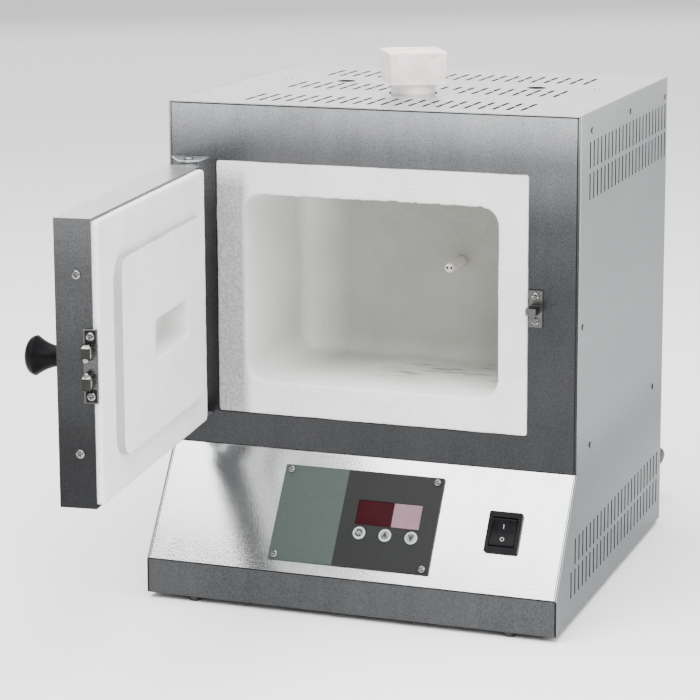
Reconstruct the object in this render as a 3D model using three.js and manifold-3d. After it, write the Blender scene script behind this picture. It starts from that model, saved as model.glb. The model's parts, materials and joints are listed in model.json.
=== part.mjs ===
// Bench-top glass kiln with a side-hung door, shown with the door standing open.
// Millimetres. Seen from the front, +X is right, +Y is back and +Z is up.
// The origin is on the standing surface, under the middle of the kiln's box without its mains lead.

import * as THREE from 'three';
import { mergeVertices } from 'three/addons/utils/BufferGeometryUtils.js';
import Module from 'manifold-3d';

const wasm = await Module();
wasm.setup();

// ---------------------------------------------------------------- driving dimensions

const gap = 0.3; // clearance between pieces that touch
const sheet = 1.2; // thickness of every sheet-metal panel
const flange = 12; // depth of the folded edges

const caseWidth = 337;
const caseDepth = 282; // upright front face to the back
const footHeight = 4.5;
const caseBottom = footHeight;
const caseTop = caseBottom + 387.7;
const kneeHeight = caseBottom + 111.8; // where the upright front meets the sloped panel
const lipHeight = caseBottom + 27.5;
const lipReach = 57; // how far the lip stands in front of the upright face

const mouthCentre = { x: -0.5, z: 244.7 }; // middle of the opening in the front frame
const mouthWidth = 257;
const mouthHeight = 203.8;

const chamberWidth = 209.5;
const chamberHeight = 150.5;
const chamberDepth = 133;
const chamberRadius = 16;
const chamberCentre = { x: -0.7, z: 245.3 };
const muffleWall = 25;
const boardThickness = 30;

const ventLength = 20.5; // one cooling slot
const ventWidth = 3;
const ventPitch = 11.3;

const plugCentre = { x: 0, y: 105.6 };
const neckRadius = 17.9;
const neckHole = 20;

const hinge = { x: -143.5, y: -19.5 };
const restOpening = THREE.MathUtils.degToRad(83.4);
const doorWidth = 253.2;
const doorHeight = 204;
const doorBottom = 142.4;
const panDepth = 26.8;
const linerProud = 4.9; // liner face in front of the pan's rim; its plateau enters the chamber's mouth
const plateau = { fromHinge: 122, z: 241.85, width: 193, height: 141.9, radius: 12, proud: 5 };
const sightPocket = { fromHinge: 105.5, z: 240, width: 79, height: 29, radius: 4, depth: 18 };
const latchX = 127.8; // latch edge of the closed door
const pinRadius = 2.5;
const lugThickness = 1.5;

const catchHeight = 243.9; // middle of the catch, the strike and the knob
const tongueX = 134.2;
const tongueHalfHeight = 2.6;
const ballTip = 3; // the sprung balls reach this close to the catch's middle
const barrelRadius = 3.8;

const plateCentre = { x: -1, y: -52.4 }; // control faceplate on the sloped panel
const plateWidth = 132;
const plateHeight = 78.5;
const windowCentre = { x: 25.2, y: -46.8 };
const windowSize = { x: 52, y: 19.5 };
const keyRow = -63.7;
const keyPitch = 21.3;
const keyRadius = 5;
const switchCentre = { x: 118.8, y: -51.9 };
const bezelSize = { x: 26.5, y: 33 };
const rockerSize = { x: 19.6, y: 22 };
const rockerTilt = THREE.MathUtils.degToRad(7);

const cordRadius = 4.6;
const cordLength = 1830; // a six-foot lead
const cordExit = { x: 156, z: 52 };
const coilX = -32;
const coilTurns = 5; // three side by side on the floor and two lying on them

// ---------------------------------------------------------------- materials

function finish(color, roughness, metalness) {
	return () => new THREE.MeshStandardMaterial({ color, roughness, metalness });
}

const brightSteel = finish(0xc9ccce, 0.34, 0.85);
const darkSteel = finish(0x7d7f88, 0.42, 0.8);
const fibre = finish(0xe9e8e4, 0.95, 0);
const board = finish(0xd9d6cf, 0.95, 0);
const firebrick = finish(0xe8e0da, 0.95, 0);
const ceramic = finish(0xe6dcd2, 0.6, 0);
const blackPlastic = finish(0x121214, 0.35, 0);
const blackRubber = finish(0x161616, 0.75, 0);
const nickel = finish(0xb9bbbc, 0.25, 1);
const elementWire = finish(0x6e5f52, 0.6, 0.7);
const faceplateInk = finish(0x5d6466, 0.5, 0.1);
const displayRed = finish(0x5a0f1c, 0.15, 0);
const boardGreen = finish(0x1f5a3a, 0.5, 0);
const brass = finish(0xb59a5a, 0.3, 1);

// ---------------------------------------------------------------- shape helpers

// A rectangle given by its corners.
function rectangle(x0, x1, y0, y1) {
	return new THREE.Shape([
		new THREE.Vector2(x0, y0),
		new THREE.Vector2(x1, y0),
		new THREE.Vector2(x1, y1),
		new THREE.Vector2(x0, y1),
	]);
}

// A rectangle given by its middle, with round corners.
function roundedRectangle(x, y, width, height, radius) {
	const right = x + width / 2 - radius;
	const left = x - width / 2 + radius;
	const top = y + height / 2 - radius;
	const bottom = y - height / 2 + radius;
	const quarter = Math.PI / 2;
	const shape = new THREE.Shape();
	shape.absarc(right, top, radius, 0, quarter);
	shape.absarc(left, top, radius, quarter, 2 * quarter);
	shape.absarc(left, bottom, radius, 2 * quarter, 3 * quarter);
	shape.absarc(right, bottom, radius, 3 * quarter, 4 * quarter);
	shape.closePath();
	return shape;
}

function disc(x, y, radius) {
	const quarter = Math.PI / 2;
	const shape = new THREE.Shape();
	for (let i = 0; i < 4; i++) shape.absarc(x, y, radius, i * quarter, (i + 1) * quarter);
	return shape;
}

function extrusion(outline, from, to, smoothness) {
	const options = { depth: to - from, bevelEnabled: false, curveSegments: smoothness };
	return new THREE.ExtrudeGeometry(outline, options).translate(0, 0, from);
}

// A flat piece: an outline in X and Y with holes, from one height to another.
function plate(outline, holes, from, to, smoothness = 2) {
	const tools = holes.map((hole) => extrusion(hole, from - 1, to + 1, smoothness));
	const whole = extrusion(outline, from, to, smoothness);
	return tools.length > 0 ? cut(whole, ...tools) : whole;
}

// The same, standing up: the outline is in X and Z, and the piece runs from one Y to another.
function uprightPlate(outline, holes, from, to, smoothness) {
	return plate(outline, holes, -to, -from, smoothness).rotateX(Math.PI / 2);
}

// The same, facing sideways: the outline is in Y and Z, and the piece runs from one X to another.
function sidePlate(outline, holes, from, to, smoothness) {
	const sideways = new THREE.Matrix4().makeBasis(
		new THREE.Vector3(0, 1, 0),
		new THREE.Vector3(0, 0, 1),
		new THREE.Vector3(1, 0, 0),
	);
	return plate(outline, holes, from, to, smoothness).applyMatrix4(sideways);
}

function block(x0, x1, y0, y1, z0, z1) {
	const box = new THREE.BoxGeometry(x1 - x0, y1 - y0, z1 - z0);
	return box.translate((x0 + x1) / 2, (y0 + y1) / 2, (z0 + z1) / 2);
}

// A turned piece about Z: the profile is a list of [radius, height].
function turned(profile, segments = 12) {
	const points = profile.map(([radius, height]) => new THREE.Vector2(radius, height));
	return new THREE.LatheGeometry(points, segments).rotateX(Math.PI / 2);
}

function rod(radius, from, to, segments = 12) {
	return turned([[0, from], [radius, from], [radius, to], [0, to]], segments);
}

// A pan-head screw about Z. Its head sits on height 0 and its shank points down.
function screw(headRadius, shankRadius, shankLength) {
	const headHeight = headRadius * 0.55;
	return turned([
		[0, -shankLength],
		[shankRadius, -shankLength],
		[shankRadius, 0],
		[headRadius, 0],
		[headRadius * 0.75, headHeight * 0.8],
		[0, headHeight],
	], 8);
}

function toSolid(geometry) {
	const bare = geometry.clone();
	bare.deleteAttribute('normal');
	bare.deleteAttribute('uv');
	const merged = mergeVertices(bare, 1e-4);
	return new wasm.Manifold(new wasm.Mesh({
		numProp: 3,
		vertProperties: new Float32Array(merged.attributes.position.array),
		triVerts: new Uint32Array(merged.index.array),
	}));
}

function toGeometry(solid) {
	const mesh = solid.getMesh();
	const geometry = new THREE.BufferGeometry();
	geometry.setAttribute('position', new THREE.BufferAttribute(mesh.vertProperties, 3));
	geometry.setIndex(new THREE.BufferAttribute(mesh.triVerts, 1));
	geometry.computeVertexNormals();
	return geometry;
}

function join(...geometries) {
	return toGeometry(geometries.map(toSolid).reduce((whole, next) => whole.add(next)));
}

function cut(geometry, ...tools) {
	return toGeometry(tools.map(toSolid).reduce((whole, tool) => whole.subtract(tool), toSolid(geometry)));
}

const kiln = new THREE.Group();

function add(name, geometry, material, parent = kiln) {
	const mesh = new THREE.Mesh(geometry, material());
	mesh.name = name;
	parent.add(mesh);
	return mesh;
}

// ---------------------------------------------------------------- case

const halfWidth = caseWidth / 2;
const innerHalf = halfWidth - sheet - gap; // panels between the two side panels end here
const flangeInner = innerHalf - sheet;
const slopeAngle = Math.atan2(kneeHeight - lipHeight, lipReach);
const slopeLength = Math.hypot(kneeHeight - lipHeight, lipReach);
const shieldBottom = kneeHeight + 4;
const shieldTop = shieldBottom + sheet;
const muffle = {
	left: mouthCentre.x - mouthWidth / 2 + gap,
	right: mouthCentre.x + mouthWidth / 2 - gap,
	bottom: mouthCentre.z - mouthHeight / 2 + gap,
	top: mouthCentre.z + mouthHeight / 2 - gap,
	back: chamberDepth + muffleWall,
};

// Upright cooling slots side by side along the first axis, at one height.
function slotRow(first, count, height) {
	const slots = [];
	for (let i = 0; i < count; i++) {
		const middle = first + i * ventPitch;
		slots.push(rectangle(
			middle - ventWidth / 2,
			middle + ventWidth / 2,
			height - ventLength / 2,
			height + ventLength / 2,
		));
	}
	return slots;
}

const rivets = [[30.4, 378], [152.9, 378], [274.6, 376], [10.2, 229.7], [37, 131], [248, 130]];
const rivetRadius = 2.4;
const rivetProud = 0.7;

// A side of the case, with the heads of the rivets that hold it.
function sidePanel(name, from) {
	const outline = new THREE.Shape([
		new THREE.Vector2(0, caseTop),
		new THREE.Vector2(0, kneeHeight),
		new THREE.Vector2(-lipReach, lipHeight),
		new THREE.Vector2(-lipReach, caseBottom),
		new THREE.Vector2(caseDepth, caseBottom),
		new THREE.Vector2(caseDepth, caseTop),
	]);
	const upperRows = [359.6, 335.5].flatMap((height) => slotRow(26, 23, height));
	const lowerRows = [...slotRow(-4, 25, 56.8), ...slotRow(-15.3, 26, 32.7)];
	const panel = sidePlate(outline, [...upperRows, ...lowerRows], from, from + sheet);
	const [headFrom, headTo] = from < 0
		? [from - rivetProud, from + sheet / 2]
		: [from + sheet / 2, from + sheet + rivetProud];
	const heads = rivets.map(([y, z]) => sidePlate(disc(y, z, rivetRadius), [], headFrom, headTo));
	add(name, join(panel, ...heads), brightSteel);
}

function topPanel() {
	const holes = [disc(plugCentre.x, plugCentre.y, neckHole)];
	holes.push(disc(-81, 170, 8), disc(85, 170, 8));
	const bands = [42.3, 134.3, 227.3];
	const rowOffset = 11.5;
	const slotsPerRow = 21;
	for (const band of bands) {
		for (const y of [band - rowOffset, band + rowOffset]) {
			for (let i = 0; i < slotsPerRow; i++) {
				const x = 2 + (i - (slotsPerRow - 1) / 2) * ventPitch;
				const fromPlug = Math.hypot(x - plugCentre.x, y - plugCentre.y);
				if (fromPlug < neckHole + ventLength / 2 + 4) continue;
				holes.push(rectangle(x - ventWidth / 2, x + ventWidth / 2, y - ventLength / 2, y + ventLength / 2));
			}
		}
	}
	const sheetTop = plate(rectangle(-innerHalf, innerHalf, 0, caseDepth), holes, caseTop - sheet, caseTop);
	const flanges = [-innerHalf, flangeInner].map((x) => block(
		x,
		x + sheet,
		flange + 2,
		caseDepth - sheet - gap,
		caseTop - flange - sheet,
		caseTop - sheet / 2,
	));
	add('top_panel', join(sheetTop, ...flanges), brightSteel);
}

function frontFrame() {
	const top = caseTop - sheet - gap;
	const slotWidth = 21;
	const slotMiddle = hinge.x - 5.5;
	const earSlots = [doorBottom - 1.45, doorBottom + doorHeight + 1.45].map((height) => (
		rectangle(slotMiddle - slotWidth / 2, slotMiddle + slotWidth / 2, height - 1.1, height + 1.1)
	));
	const screwHoles = [-9.85, 9.85].map((offset) => disc(tongueX, catchHeight + offset, 1.9));
	const opening = roundedRectangle(mouthCentre.x, mouthCentre.z, mouthWidth, mouthHeight, 2);
	const outline = rectangle(-innerHalf, innerHalf, kneeHeight, top);
	const face = uprightPlate(outline, [opening, ...earSlots, ...screwHoles], 0, sheet);
	const folds = [-innerHalf, flangeInner].map((x) => (
		block(x, x + sheet, sheet / 2, flange, kneeHeight, top)
	));
	add('front_frame', join(face, ...folds), darkSteel);
}

function basePan() {
	const floor = block(-innerHalf, innerHalf, -lipReach, caseDepth, caseBottom, caseBottom + sheet);
	const lip = block(-innerHalf, innerHalf, -lipReach, -lipReach + sheet, caseBottom, lipHeight);
	add('base_pan', join(floor, lip), darkSteel);
}

function backPanel() {
	const outline = rectangle(-innerHalf, innerHalf, caseBottom + sheet + gap, caseTop - sheet - gap);
	const hole = disc(cordExit.x, cordExit.z, 6.5);
	add('back_panel', uprightPlate(outline, [hole], caseDepth - sheet, caseDepth), brightSteel);
}

function heatShield() {
	const side = flangeInner - gap;
	const shield = block(-side, side, sheet + gap, caseDepth - sheet - gap, shieldBottom, shieldTop);
	add('heat_shield', shield, brightSteel);
}

function foot(name, x, y) {
	const bumper = turned([[0, 0], [4, 0], [4.6, 1], [4.6, footHeight - gap], [0, footHeight - gap]]);
	add(name, bumper.translate(x, y, 0), blackRubber);
}

sidePanel('left_side_panel', -halfWidth);
sidePanel('right_side_panel', halfWidth - sheet);
topPanel();
frontFrame();
basePan();
backPanel();
heatShield();
for (const [side, x] of [['left', -130], ['right', 130]]) {
	foot(`front_${side}_foot`, x, -50);
	foot(`rear_${side}_foot`, x, 268);
}

// ---------------------------------------------------------------- firing chamber and insulation

const elementDepth = 4;
const thermocouple = { x: 34, z: 252.1, reach: 37 };

// The moulded fibre muffle, with the heating elements' recesses on its two sides.
function firingChamber() {
	const width = muffle.right - muffle.left;
	const height = muffle.top - muffle.bottom;
	const outer = roundedRectangle(mouthCentre.x, mouthCentre.z, width, height, 1.8);
	const body = uprightPlate(outer, [], 0, muffle.back);
	const cavityOutline = roundedRectangle(
		chamberCentre.x,
		chamberCentre.z,
		chamberWidth,
		chamberHeight,
		chamberRadius,
	);
	const cavity = uprightPlate(cavityOutline, [], -5, chamberDepth, 3);
	const sight = rod(neckHole, chamberCentre.z, muffle.top + 5).translate(plugCentre.x, plugCentre.y, 0);
	const bore = rod(4.4, 0, muffleWall * 2)
		.rotateX(-Math.PI / 2)
		.translate(thermocouple.x, chamberDepth - 5, thermocouple.z);
	const recesses = [muffle.left - 5, muffle.right - elementDepth].map((x) => (
		block(x, x + 5 + elementDepth, 18, 132, 186, 304)
	));
	add('firing_chamber', cut(body, cavity, sight, bore, ...recesses), fibre);
}

// A flat ribbon that runs to and fro, laid in the recess beside the chamber.
function heatingElement(name, x) {
	const runs = 9;
	const runSpacing = 12;
	const ribbon = 3.2;
	const near = 22;
	const far = 128;
	const bottom = 195;
	const outside = x + elementDepth - 1;
	const bars = [];
	for (let i = 0; i < runs; i++) {
		const low = bottom + i * runSpacing;
		bars.push(block(x, outside, near, far, low, low + ribbon));
		if (i === runs - 1) continue;
		const end = i % 2 === 0 ? far - ribbon : near;
		bars.push(block(x, outside, end, end + ribbon, low, low + runSpacing + ribbon));
	}
	add(name, join(...bars), elementWire);
}

function insulation() {
	const front = sheet + 2;
	const sideTop = 352;
	const outerLeft = muffle.left - gap - boardThickness;
	const outerRight = muffle.right + gap + boardThickness;
	const bottom = shieldTop + gap;
	const backFace = muffle.back + gap;
	const side = (x) => block(x, x + boardThickness, front + flange, backFace + boardThickness, bottom, sideTop);
	add('left_insulation', side(outerLeft), board);
	add('right_insulation', side(muffle.right + gap), board);
	add(
		'bottom_insulation',
		block(muffle.left, muffle.right, front, backFace + boardThickness, bottom, muffle.bottom - gap),
		board,
	);
	const backOutline = rectangle(muffle.left, muffle.right, muffle.bottom, muffle.top);
	const bore = disc(thermocouple.x, thermocouple.z, 4.4);
	add('back_insulation', uprightPlate(backOutline, [bore], backFace, backFace + boardThickness), board);
	const lid = rectangle(outerLeft, outerRight, front + flange, backFace + boardThickness);
	const sight = disc(plugCentre.x, plugCentre.y, neckHole);
	add('top_insulation', plate(lid, [sight], sideTop + gap, sideTop + 22), board);
}

function thermocoupleParts() {
	const tip = chamberDepth - thermocouple.reach;
	const back = muffle.back + boardThickness + 8;
	const bores = [-1.7, 1.7].map((offset) => disc(thermocouple.x + offset, thermocouple.z, 0.9));
	const outline = disc(thermocouple.x, thermocouple.z, 3.9);
	add('thermocouple_tube', uprightPlate(outline, bores, tip, back), ceramic);
	const terminals = block(
		thermocouple.x - 15,
		thermocouple.x + 15,
		back + gap,
		back + 14,
		thermocouple.z - 9,
		thermocouple.z + 9,
	);
	add('thermocouple_block', terminals, ceramic);
}

// The lift-out plug of the vent in the roof: a round neck under a tapered square block.
function ventPlug() {
	const neckTop = caseTop + 8.6;
	const headHeight = 26.5;
	const headTop = 47.5;
	const headBottom = 44.5;
	const neck = rod(neckRadius, 330, neckTop, 16);
	const head = roundedRectangle(0, 0, headTop, headTop, 2.5);
	const slab = plate(head, [], 0, headHeight);
	const shrink = headBottom / headTop;
	const position = slab.attributes.position;
	for (let i = 0; i < position.count; i++) {
		if (position.getZ(i) > 0) continue;
		position.setXY(i, position.getX(i) * shrink, position.getY(i) * shrink);
	}
	slab.rotateZ(THREE.MathUtils.degToRad(29.5)).translate(0, 0, neckTop - 0.01);
	const plug = join(neck, slab).translate(plugCentre.x, plugCentre.y, 0);
	add('vent_plug', plug, firebrick);
}

firingChamber();
heatingElement('left_heating_element', muffle.left + 0.5);
heatingElement('right_heating_element', muffle.right - elementDepth + 0.5);
insulation();
thermocoupleParts();
ventPlug();

// ---------------------------------------------------------------- door

const doorTop = doorBottom + doorHeight;
const rimY = -gap - 0.1 - linerProud - hinge.y; // the pan's rim, from the hinge axis, door closed
const outerY = rimY - panDepth;
const linerY = rimY + linerProud;
const latchEdge = latchX - hinge.x;
const hingeEdge = latchEdge - doorWidth;
const knob = { x: latchEdge - 25, z: catchHeight };

// The door is drawn closed, with its hinge axis at the group's origin, and the group turns it open.
const door = new THREE.Group();
door.position.set(hinge.x, hinge.y, 0);
door.rotation.z = -restOpening;
kiln.add(door);

function doorPan() {
	const outside = block(hingeEdge, latchEdge, outerY, rimY, doorBottom, doorTop);
	const inside = block(
		hingeEdge + sheet,
		latchEdge - sheet,
		outerY + sheet,
		rimY + 1,
		doorBottom + sheet,
		doorTop - sheet,
	);
	const screwHole = rod(2.4, -3, 3).rotateX(Math.PI / 2).translate(knob.x, outerY, knob.z);
	add('door_pan', cut(outside, inside, screwHole), darkSteel, door);
}

function doorLiner() {
	const inset = 2.2;
	const centreX = (hingeEdge + latchEdge) / 2;
	const centreZ = (doorBottom + doorTop) / 2;
	const outline = roundedRectangle(centreX, centreZ, doorWidth - 2 * inset, doorHeight - 2 * inset, 4);
	const slab = uprightPlate(outline, [], outerY + sheet + gap, linerY);
	const patch = ({ fromHinge, z, width, height, radius }, from, to) => (
		uprightPlate(roundedRectangle(hingeEdge + fromHinge, z, width, height, radius), [], from, to)
	);
	const plateauTop = linerY + plateau.proud;
	const raised = patch(plateau, linerY - 1, plateauTop);
	const pocket = patch(sightPocket, linerY - sightPocket.depth, plateauTop + 5);
	const screwPocket = rod(8, -7, 7).rotateX(Math.PI / 2).translate(knob.x, outerY + sheet, knob.z);
	add('door_liner', cut(join(slab, raised), pocket, screwPocket), fibre, door);
}

function doorKnob() {
	const profile = [
		[0, 14],
		[2.3, 14],
		[2.3, gap],
		[8.2, gap],
		[7, 4],
		[7, 10],
		[10, 18],
		[14.1, 23.4],
		[14.1, 24.6],
		[9.4, 29.8],
		[0, 31.4],
	];
	const body = turned(profile, 16).rotateX(Math.PI / 2).translate(knob.x, outerY, knob.z);
	add('door_knob', body, blackPlastic, door);
	const fixing = screw(4.5, 2, 13).rotateX(-Math.PI / 2).translate(knob.x, outerY + sheet + gap, knob.z);
	add('knob_screw', fixing, nickel, door);
}

// A strip on the hinge edge of the door with a lug at each end, which turn on the two pins.
function hingeBracket() {
	const stripBack = hingeEdge - gap;
	const stripFront = stripBack - lugThickness;
	const lugRadius = 7;
	const reach = 10;
	const strip = block(stripFront, stripBack, outerY + 1.5, rimY - 1.5, doorBottom, doorTop);
	const lugOutline = () => {
		const outline = new THREE.Shape();
		outline.absarc(0, 0, lugRadius, Math.PI / 2, 3 * Math.PI / 2);
		outline.lineTo(stripBack - 0.2, -reach);
		outline.lineTo(stripBack - 0.2, reach);
		outline.closePath();
		return outline;
	};
	const hole = () => disc(0, 0, pinRadius + gap);
	const upper = plate(lugOutline(), [hole()], doorTop - lugThickness, doorTop);
	const lower = plate(lugOutline(), [hole()], doorBottom, doorBottom + lugThickness);
	add('door_hinge_bracket', join(strip, upper, lower), darkSteel, door);
}

// The double ball catch on the latch edge: a backing plate with two barrels that face each other.
const catchY = rimY - 3.3;
const barrelX = tongueX - hinge.x;
const barrelInner = 5.2;
const barrelOuter = 15;

function ballCatch() {
	const plateInner = latchEdge + gap;
	const plateOuter = plateInner + 1;
	const backing = block(plateInner, plateOuter, rimY - 7, rimY + 3.5, catchHeight - 26.2, catchHeight + 26.2);
	const halves = [-1, 1].flatMap((side) => {
		const [low, high] = [barrelInner, barrelOuter].map((z) => catchHeight + side * z).sort((a, b) => a - b);
		const web = block(plateOuter - 0.2, barrelX, catchY - 3, catchY + 3, low, high);
		const barrel = rod(barrelRadius, low, high).translate(barrelX, catchY, 0);
		return [web, barrel];
	});
	const bores = [-1, 1].map((side) => {
		const [low, high] = [0, barrelOuter - 1].map((z) => catchHeight + side * z).sort((a, b) => a - b);
		return rod(2.5, low, high).translate(barrelX, catchY, 0);
	});
	add('catch_housing', cut(join(backing, ...halves), ...bores), nickel, door);
	for (const [name, side] of [['upper_catch_ball', 1], ['lower_catch_ball', -1]]) {
		const radius = 2.2;
		const plunger = turned([
			[0, ballTip],
			[radius * 0.7, ballTip + radius * 0.3],
			[radius, ballTip + radius],
			[radius, 11],
			[0, 11],
		], 8);
		if (side < 0) plunger.rotateX(Math.PI);
		add(name, plunger.translate(barrelX, catchY, catchHeight), nickel, door);
	}
}

doorPan();
doorLiner();
doorKnob();
hingeBracket();
ballCatch();

// ---------------------------------------------------------------- hinge ears and strike, on the front frame

// A tapered ear whose tail passes through the front frame, and the pin that the door's lug turns on.
function hingeEar(name, pinName, bottom, side) {
	const tipRadius = 8.5;
	const left = hinge.x - 21;
	const right = hinge.x + 9.5;
	const tailMiddle = hinge.x - 5.5;
	const outline = new THREE.Shape();
	outline.moveTo(tailMiddle - 10, 8);
	outline.lineTo(tailMiddle - 10, -gap);
	outline.lineTo(left, -gap);
	outline.lineTo(left, -4);
	outline.absarc(hinge.x, hinge.y, tipRadius, 1.2 * Math.PI, 1.94 * Math.PI);
	outline.lineTo(right, -gap);
	outline.lineTo(tailMiddle + 10, -gap);
	outline.lineTo(tailMiddle + 10, 8);
	outline.closePath();
	const hole = disc(hinge.x, hinge.y, pinRadius + gap);
	add(name, plate(outline, [hole], bottom, bottom + lugThickness), brightSteel);
	const reach = 9;
	const pin = turned([
		[0, -reach],
		[pinRadius, -reach],
		[pinRadius, gap],
		[4, gap],
		[4, 1.2],
		[2.6, 2],
		[0, 2],
	]);
	if (side < 0) pin.rotateX(Math.PI);
	const seat = side > 0 ? bottom + lugThickness : bottom;
	add(pinName, pin.translate(hinge.x, hinge.y, seat), nickel);
}

function strike() {
	const front = -gap - sheet;
	const halfPlate = 5.5;
	const outline = rectangle(tongueX - halfPlate, tongueX + halfPlate, catchHeight - 14.4, catchHeight + 14.4);
	const holes = [-9.85, 9.85].map((offset) => disc(tongueX, catchHeight + offset, 1.9));
	const backing = uprightPlate(outline, holes, front, -gap);
	const tongue = block(
		tongueX - 4.1,
		tongueX + 4.1,
		-15.5,
		front + 0.2,
		catchHeight - tongueHalfHeight,
		catchHeight + tongueHalfHeight,
	);
	add('strike_plate', join(backing, tongue), nickel);
	for (const [name, offset] of [['upper_strike_screw', 9.85], ['lower_strike_screw', -9.85]]) {
		const fixing = screw(2.9, 1.6, 8).rotateX(Math.PI / 2);
		add(name, fixing.translate(tongueX, front - gap, catchHeight + offset), nickel);
	}
}

hingeEar('top_hinge_ear', 'top_hinge_pin', doorTop + 0.7, 1);
hingeEar('bottom_hinge_ear', 'bottom_hinge_pin', doorBottom - 0.7 - lugThickness, -1);
strike();

// ---------------------------------------------------------------- controls

// Drawn flat on the sloped panel: X across, Y up the slope from the lip, Z out of the panel,
// with the origin at the knee.
const slope = new THREE.Group();
slope.position.set(0, 0, kneeHeight);
slope.rotation.x = slopeAngle;
kiln.add(slope);

const plateScrews = [-1, 1].flatMap((sideX) => [-1, 1].map((sideY) => ({
	name: `${sideY > 0 ? 'upper' : 'lower'}_${sideX < 0 ? 'left' : 'right'}_plate_screw`,
	x: plateCentre.x + sideX * 60.8,
	y: plateCentre.y + sideY * 35.2,
})));
const keys = ['cycle_key', 'up_key', 'down_key'].map((name, i) => ({
	name,
	x: windowCentre.x + (i - 1) * keyPitch,
	y: keyRow,
}));

function controlPanel() {
	const outline = rectangle(-innerHalf, innerHalf, -slopeLength + 0.9, -0.6);
	const boardOpening = roundedRectangle(windowCentre.x, -55, 60, 42, 3);
	const switchOpening = rectangle(
		switchCentre.x - 11.6,
		switchCentre.x + 11.6,
		switchCentre.y - 14,
		switchCentre.y + 14,
	);
	const screwHoles = plateScrews.map(({ x, y }) => disc(x, y, 1.9));
	add('control_panel', plate(outline, [boardOpening, switchOpening, ...screwHoles], -sheet, 0), brightSteel, slope);
}

function faceplate() {
	const outline = roundedRectangle(plateCentre.x, plateCentre.y, plateWidth, plateHeight, 1);
	const opening = roundedRectangle(windowCentre.x, windowCentre.y, windowSize.x + 0.6, windowSize.y + 0.6, 0.8);
	const keyHoles = keys.map(({ x, y }) => disc(x, y, keyRadius + 0.4));
	const screwHoles = plateScrews.map(({ x, y }) => disc(x, y, 1.9));
	const top = gap + 1.5;
	add('control_faceplate', plate(outline, [opening, ...keyHoles, ...screwHoles], gap, top), faceplateInk, slope);
	const lens = roundedRectangle(windowCentre.x, windowCentre.y, windowSize.x, windowSize.y, 0.6);
	add('display_window', plate(lens, [], gap, top - 0.3), displayRed, slope);
	for (const { name, x, y } of keys) {
		const cap = turned([[0, -3], [2, -3], [2, 0], [keyRadius, 0], [keyRadius, 2.1], [keyRadius - 0.5, 2.5], [0, 2.5]]);
		add(name, cap.translate(x, y, 0), faceplateInk, slope);
	}
	for (const { name, x, y } of plateScrews) {
		add(name, screw(2.9, 1.6, 7).translate(x, y, top + gap), nickel, slope);
	}
}

function electronics() {
	const boardTop = -6;
	const circuit = block(-42, 62, -92, -22, boardTop - 1.6, boardTop);
	add('circuit_board', circuit, boardGreen, slope);
	const floor = caseBottom + sheet + gap;
	add('transformer', block(-60, -15, 60, 105, floor, floor + 38), elementWire);
	add('power_relay', block(40, 90, 60, 95, floor, floor + 32), blackPlastic);
}

function powerSwitch() {
	const bezel = roundedRectangle(switchCentre.x, switchCentre.y, bezelSize.x, bezelSize.y, 1.5);
	const rim = plate(bezel, [], gap, 2.6);
	const halfBodyX = 11.3;
	const halfBodyY = 13.7;
	const body = block(
		switchCentre.x - halfBodyX,
		switchCentre.x + halfBodyX,
		switchCentre.y - halfBodyY,
		switchCentre.y + halfBodyY,
		-22,
		gap + 0.5,
	);
	const well = block(
		switchCentre.x - rockerSize.x / 2 - 0.4,
		switchCentre.x + rockerSize.x / 2 + 0.4,
		switchCentre.y - rockerSize.y / 2 - 0.8,
		switchCentre.y + rockerSize.y / 2 + 0.8,
		-9,
		10,
	);
	add('power_switch_body', cut(join(rim, body), well), blackPlastic, slope);
	const half = rockerSize.y / 2 - 0.2;
	const side = new THREE.Shape([
		new THREE.Vector2(-half, 3.9),
		new THREE.Vector2(-half, -2),
		new THREE.Vector2(0, -6.5),
		new THREE.Vector2(half, -2),
		new THREE.Vector2(half, 3.9),
		new THREE.Vector2(0, 2.6),
	]);
	const rocker = sidePlate(side, [], -rockerSize.x / 2, rockerSize.x / 2).rotateX(rockerTilt);
	add('power_switch_rocker', rocker.translate(switchCentre.x, switchCentre.y, 0), blackPlastic, slope);
}

controlPanel();
faceplate();
electronics();
powerSwitch();

// ---------------------------------------------------------------- mains lead

const coilHeight = 4 * cordRadius;
const reliefLength = 34;
const cordFloor = cordRadius + 0.2;
const plugHeight = 11.2;

// From the strain relief, round to the left behind the kiln, down to the floor and up to the coil.
const leadRoute = [
	[156, 316.6, 52],
	[156, 324, 51.6],
	[155.5, 334, 48.6],
	[153, 346, 42.4],
	[148, 358, 34.6],
	[140, 369.5, 26.5],
	[129.5, 379, 18.8],
	[116.5, 387, 12.4],
	[102, 393, 7.8],
	[86, 397.5, 5.4],
	[70, 401, cordFloor],
	[52, 404.4, cordFloor],
	[34, 407.2, cordFloor],
	[18, 408.7, cordFloor],
	[3.5, 409.1, cordFloor],
];

// Off the top of the coil, down to the floor and into the plug.
const tailRoute = [
	[-72, 404.5, 12.4],
	[-84, 404.6, 10.6],
	[-98, 404.8, 7.6],
	[-112, 405, 5.4],
	[-126, 405.2, cordFloor],
	[-138, 405.4, 5.2],
	[-150, 405.6, 7.4],
	[-162, 405.7, 10.1],
	[-172, 405.8, plugHeight],
	[-178.5, 405.8, plugHeight],
];

function curve(points) {
	return new THREE.CatmullRomCurve3(points.map(([x, y, z]) => new THREE.Vector3(x, y, z)));
}

// A tube of round section along a smooth curve through the given points.
function tube(points, steps) {
	const section = new THREE.Shape();
	const sides = 8;
	for (let i = 0; i < sides; i++) {
		const angle = (2 * Math.PI * i) / sides;
		const corner = [cordRadius * Math.cos(angle), cordRadius * Math.sin(angle)];
		if (i === 0) section.moveTo(...corner);
		else section.lineTo(...corner);
	}
	section.closePath();
	return new THREE.ExtrudeGeometry(section, { steps, bevelEnabled: false, extrudePath: curve(points) });
}

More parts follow.
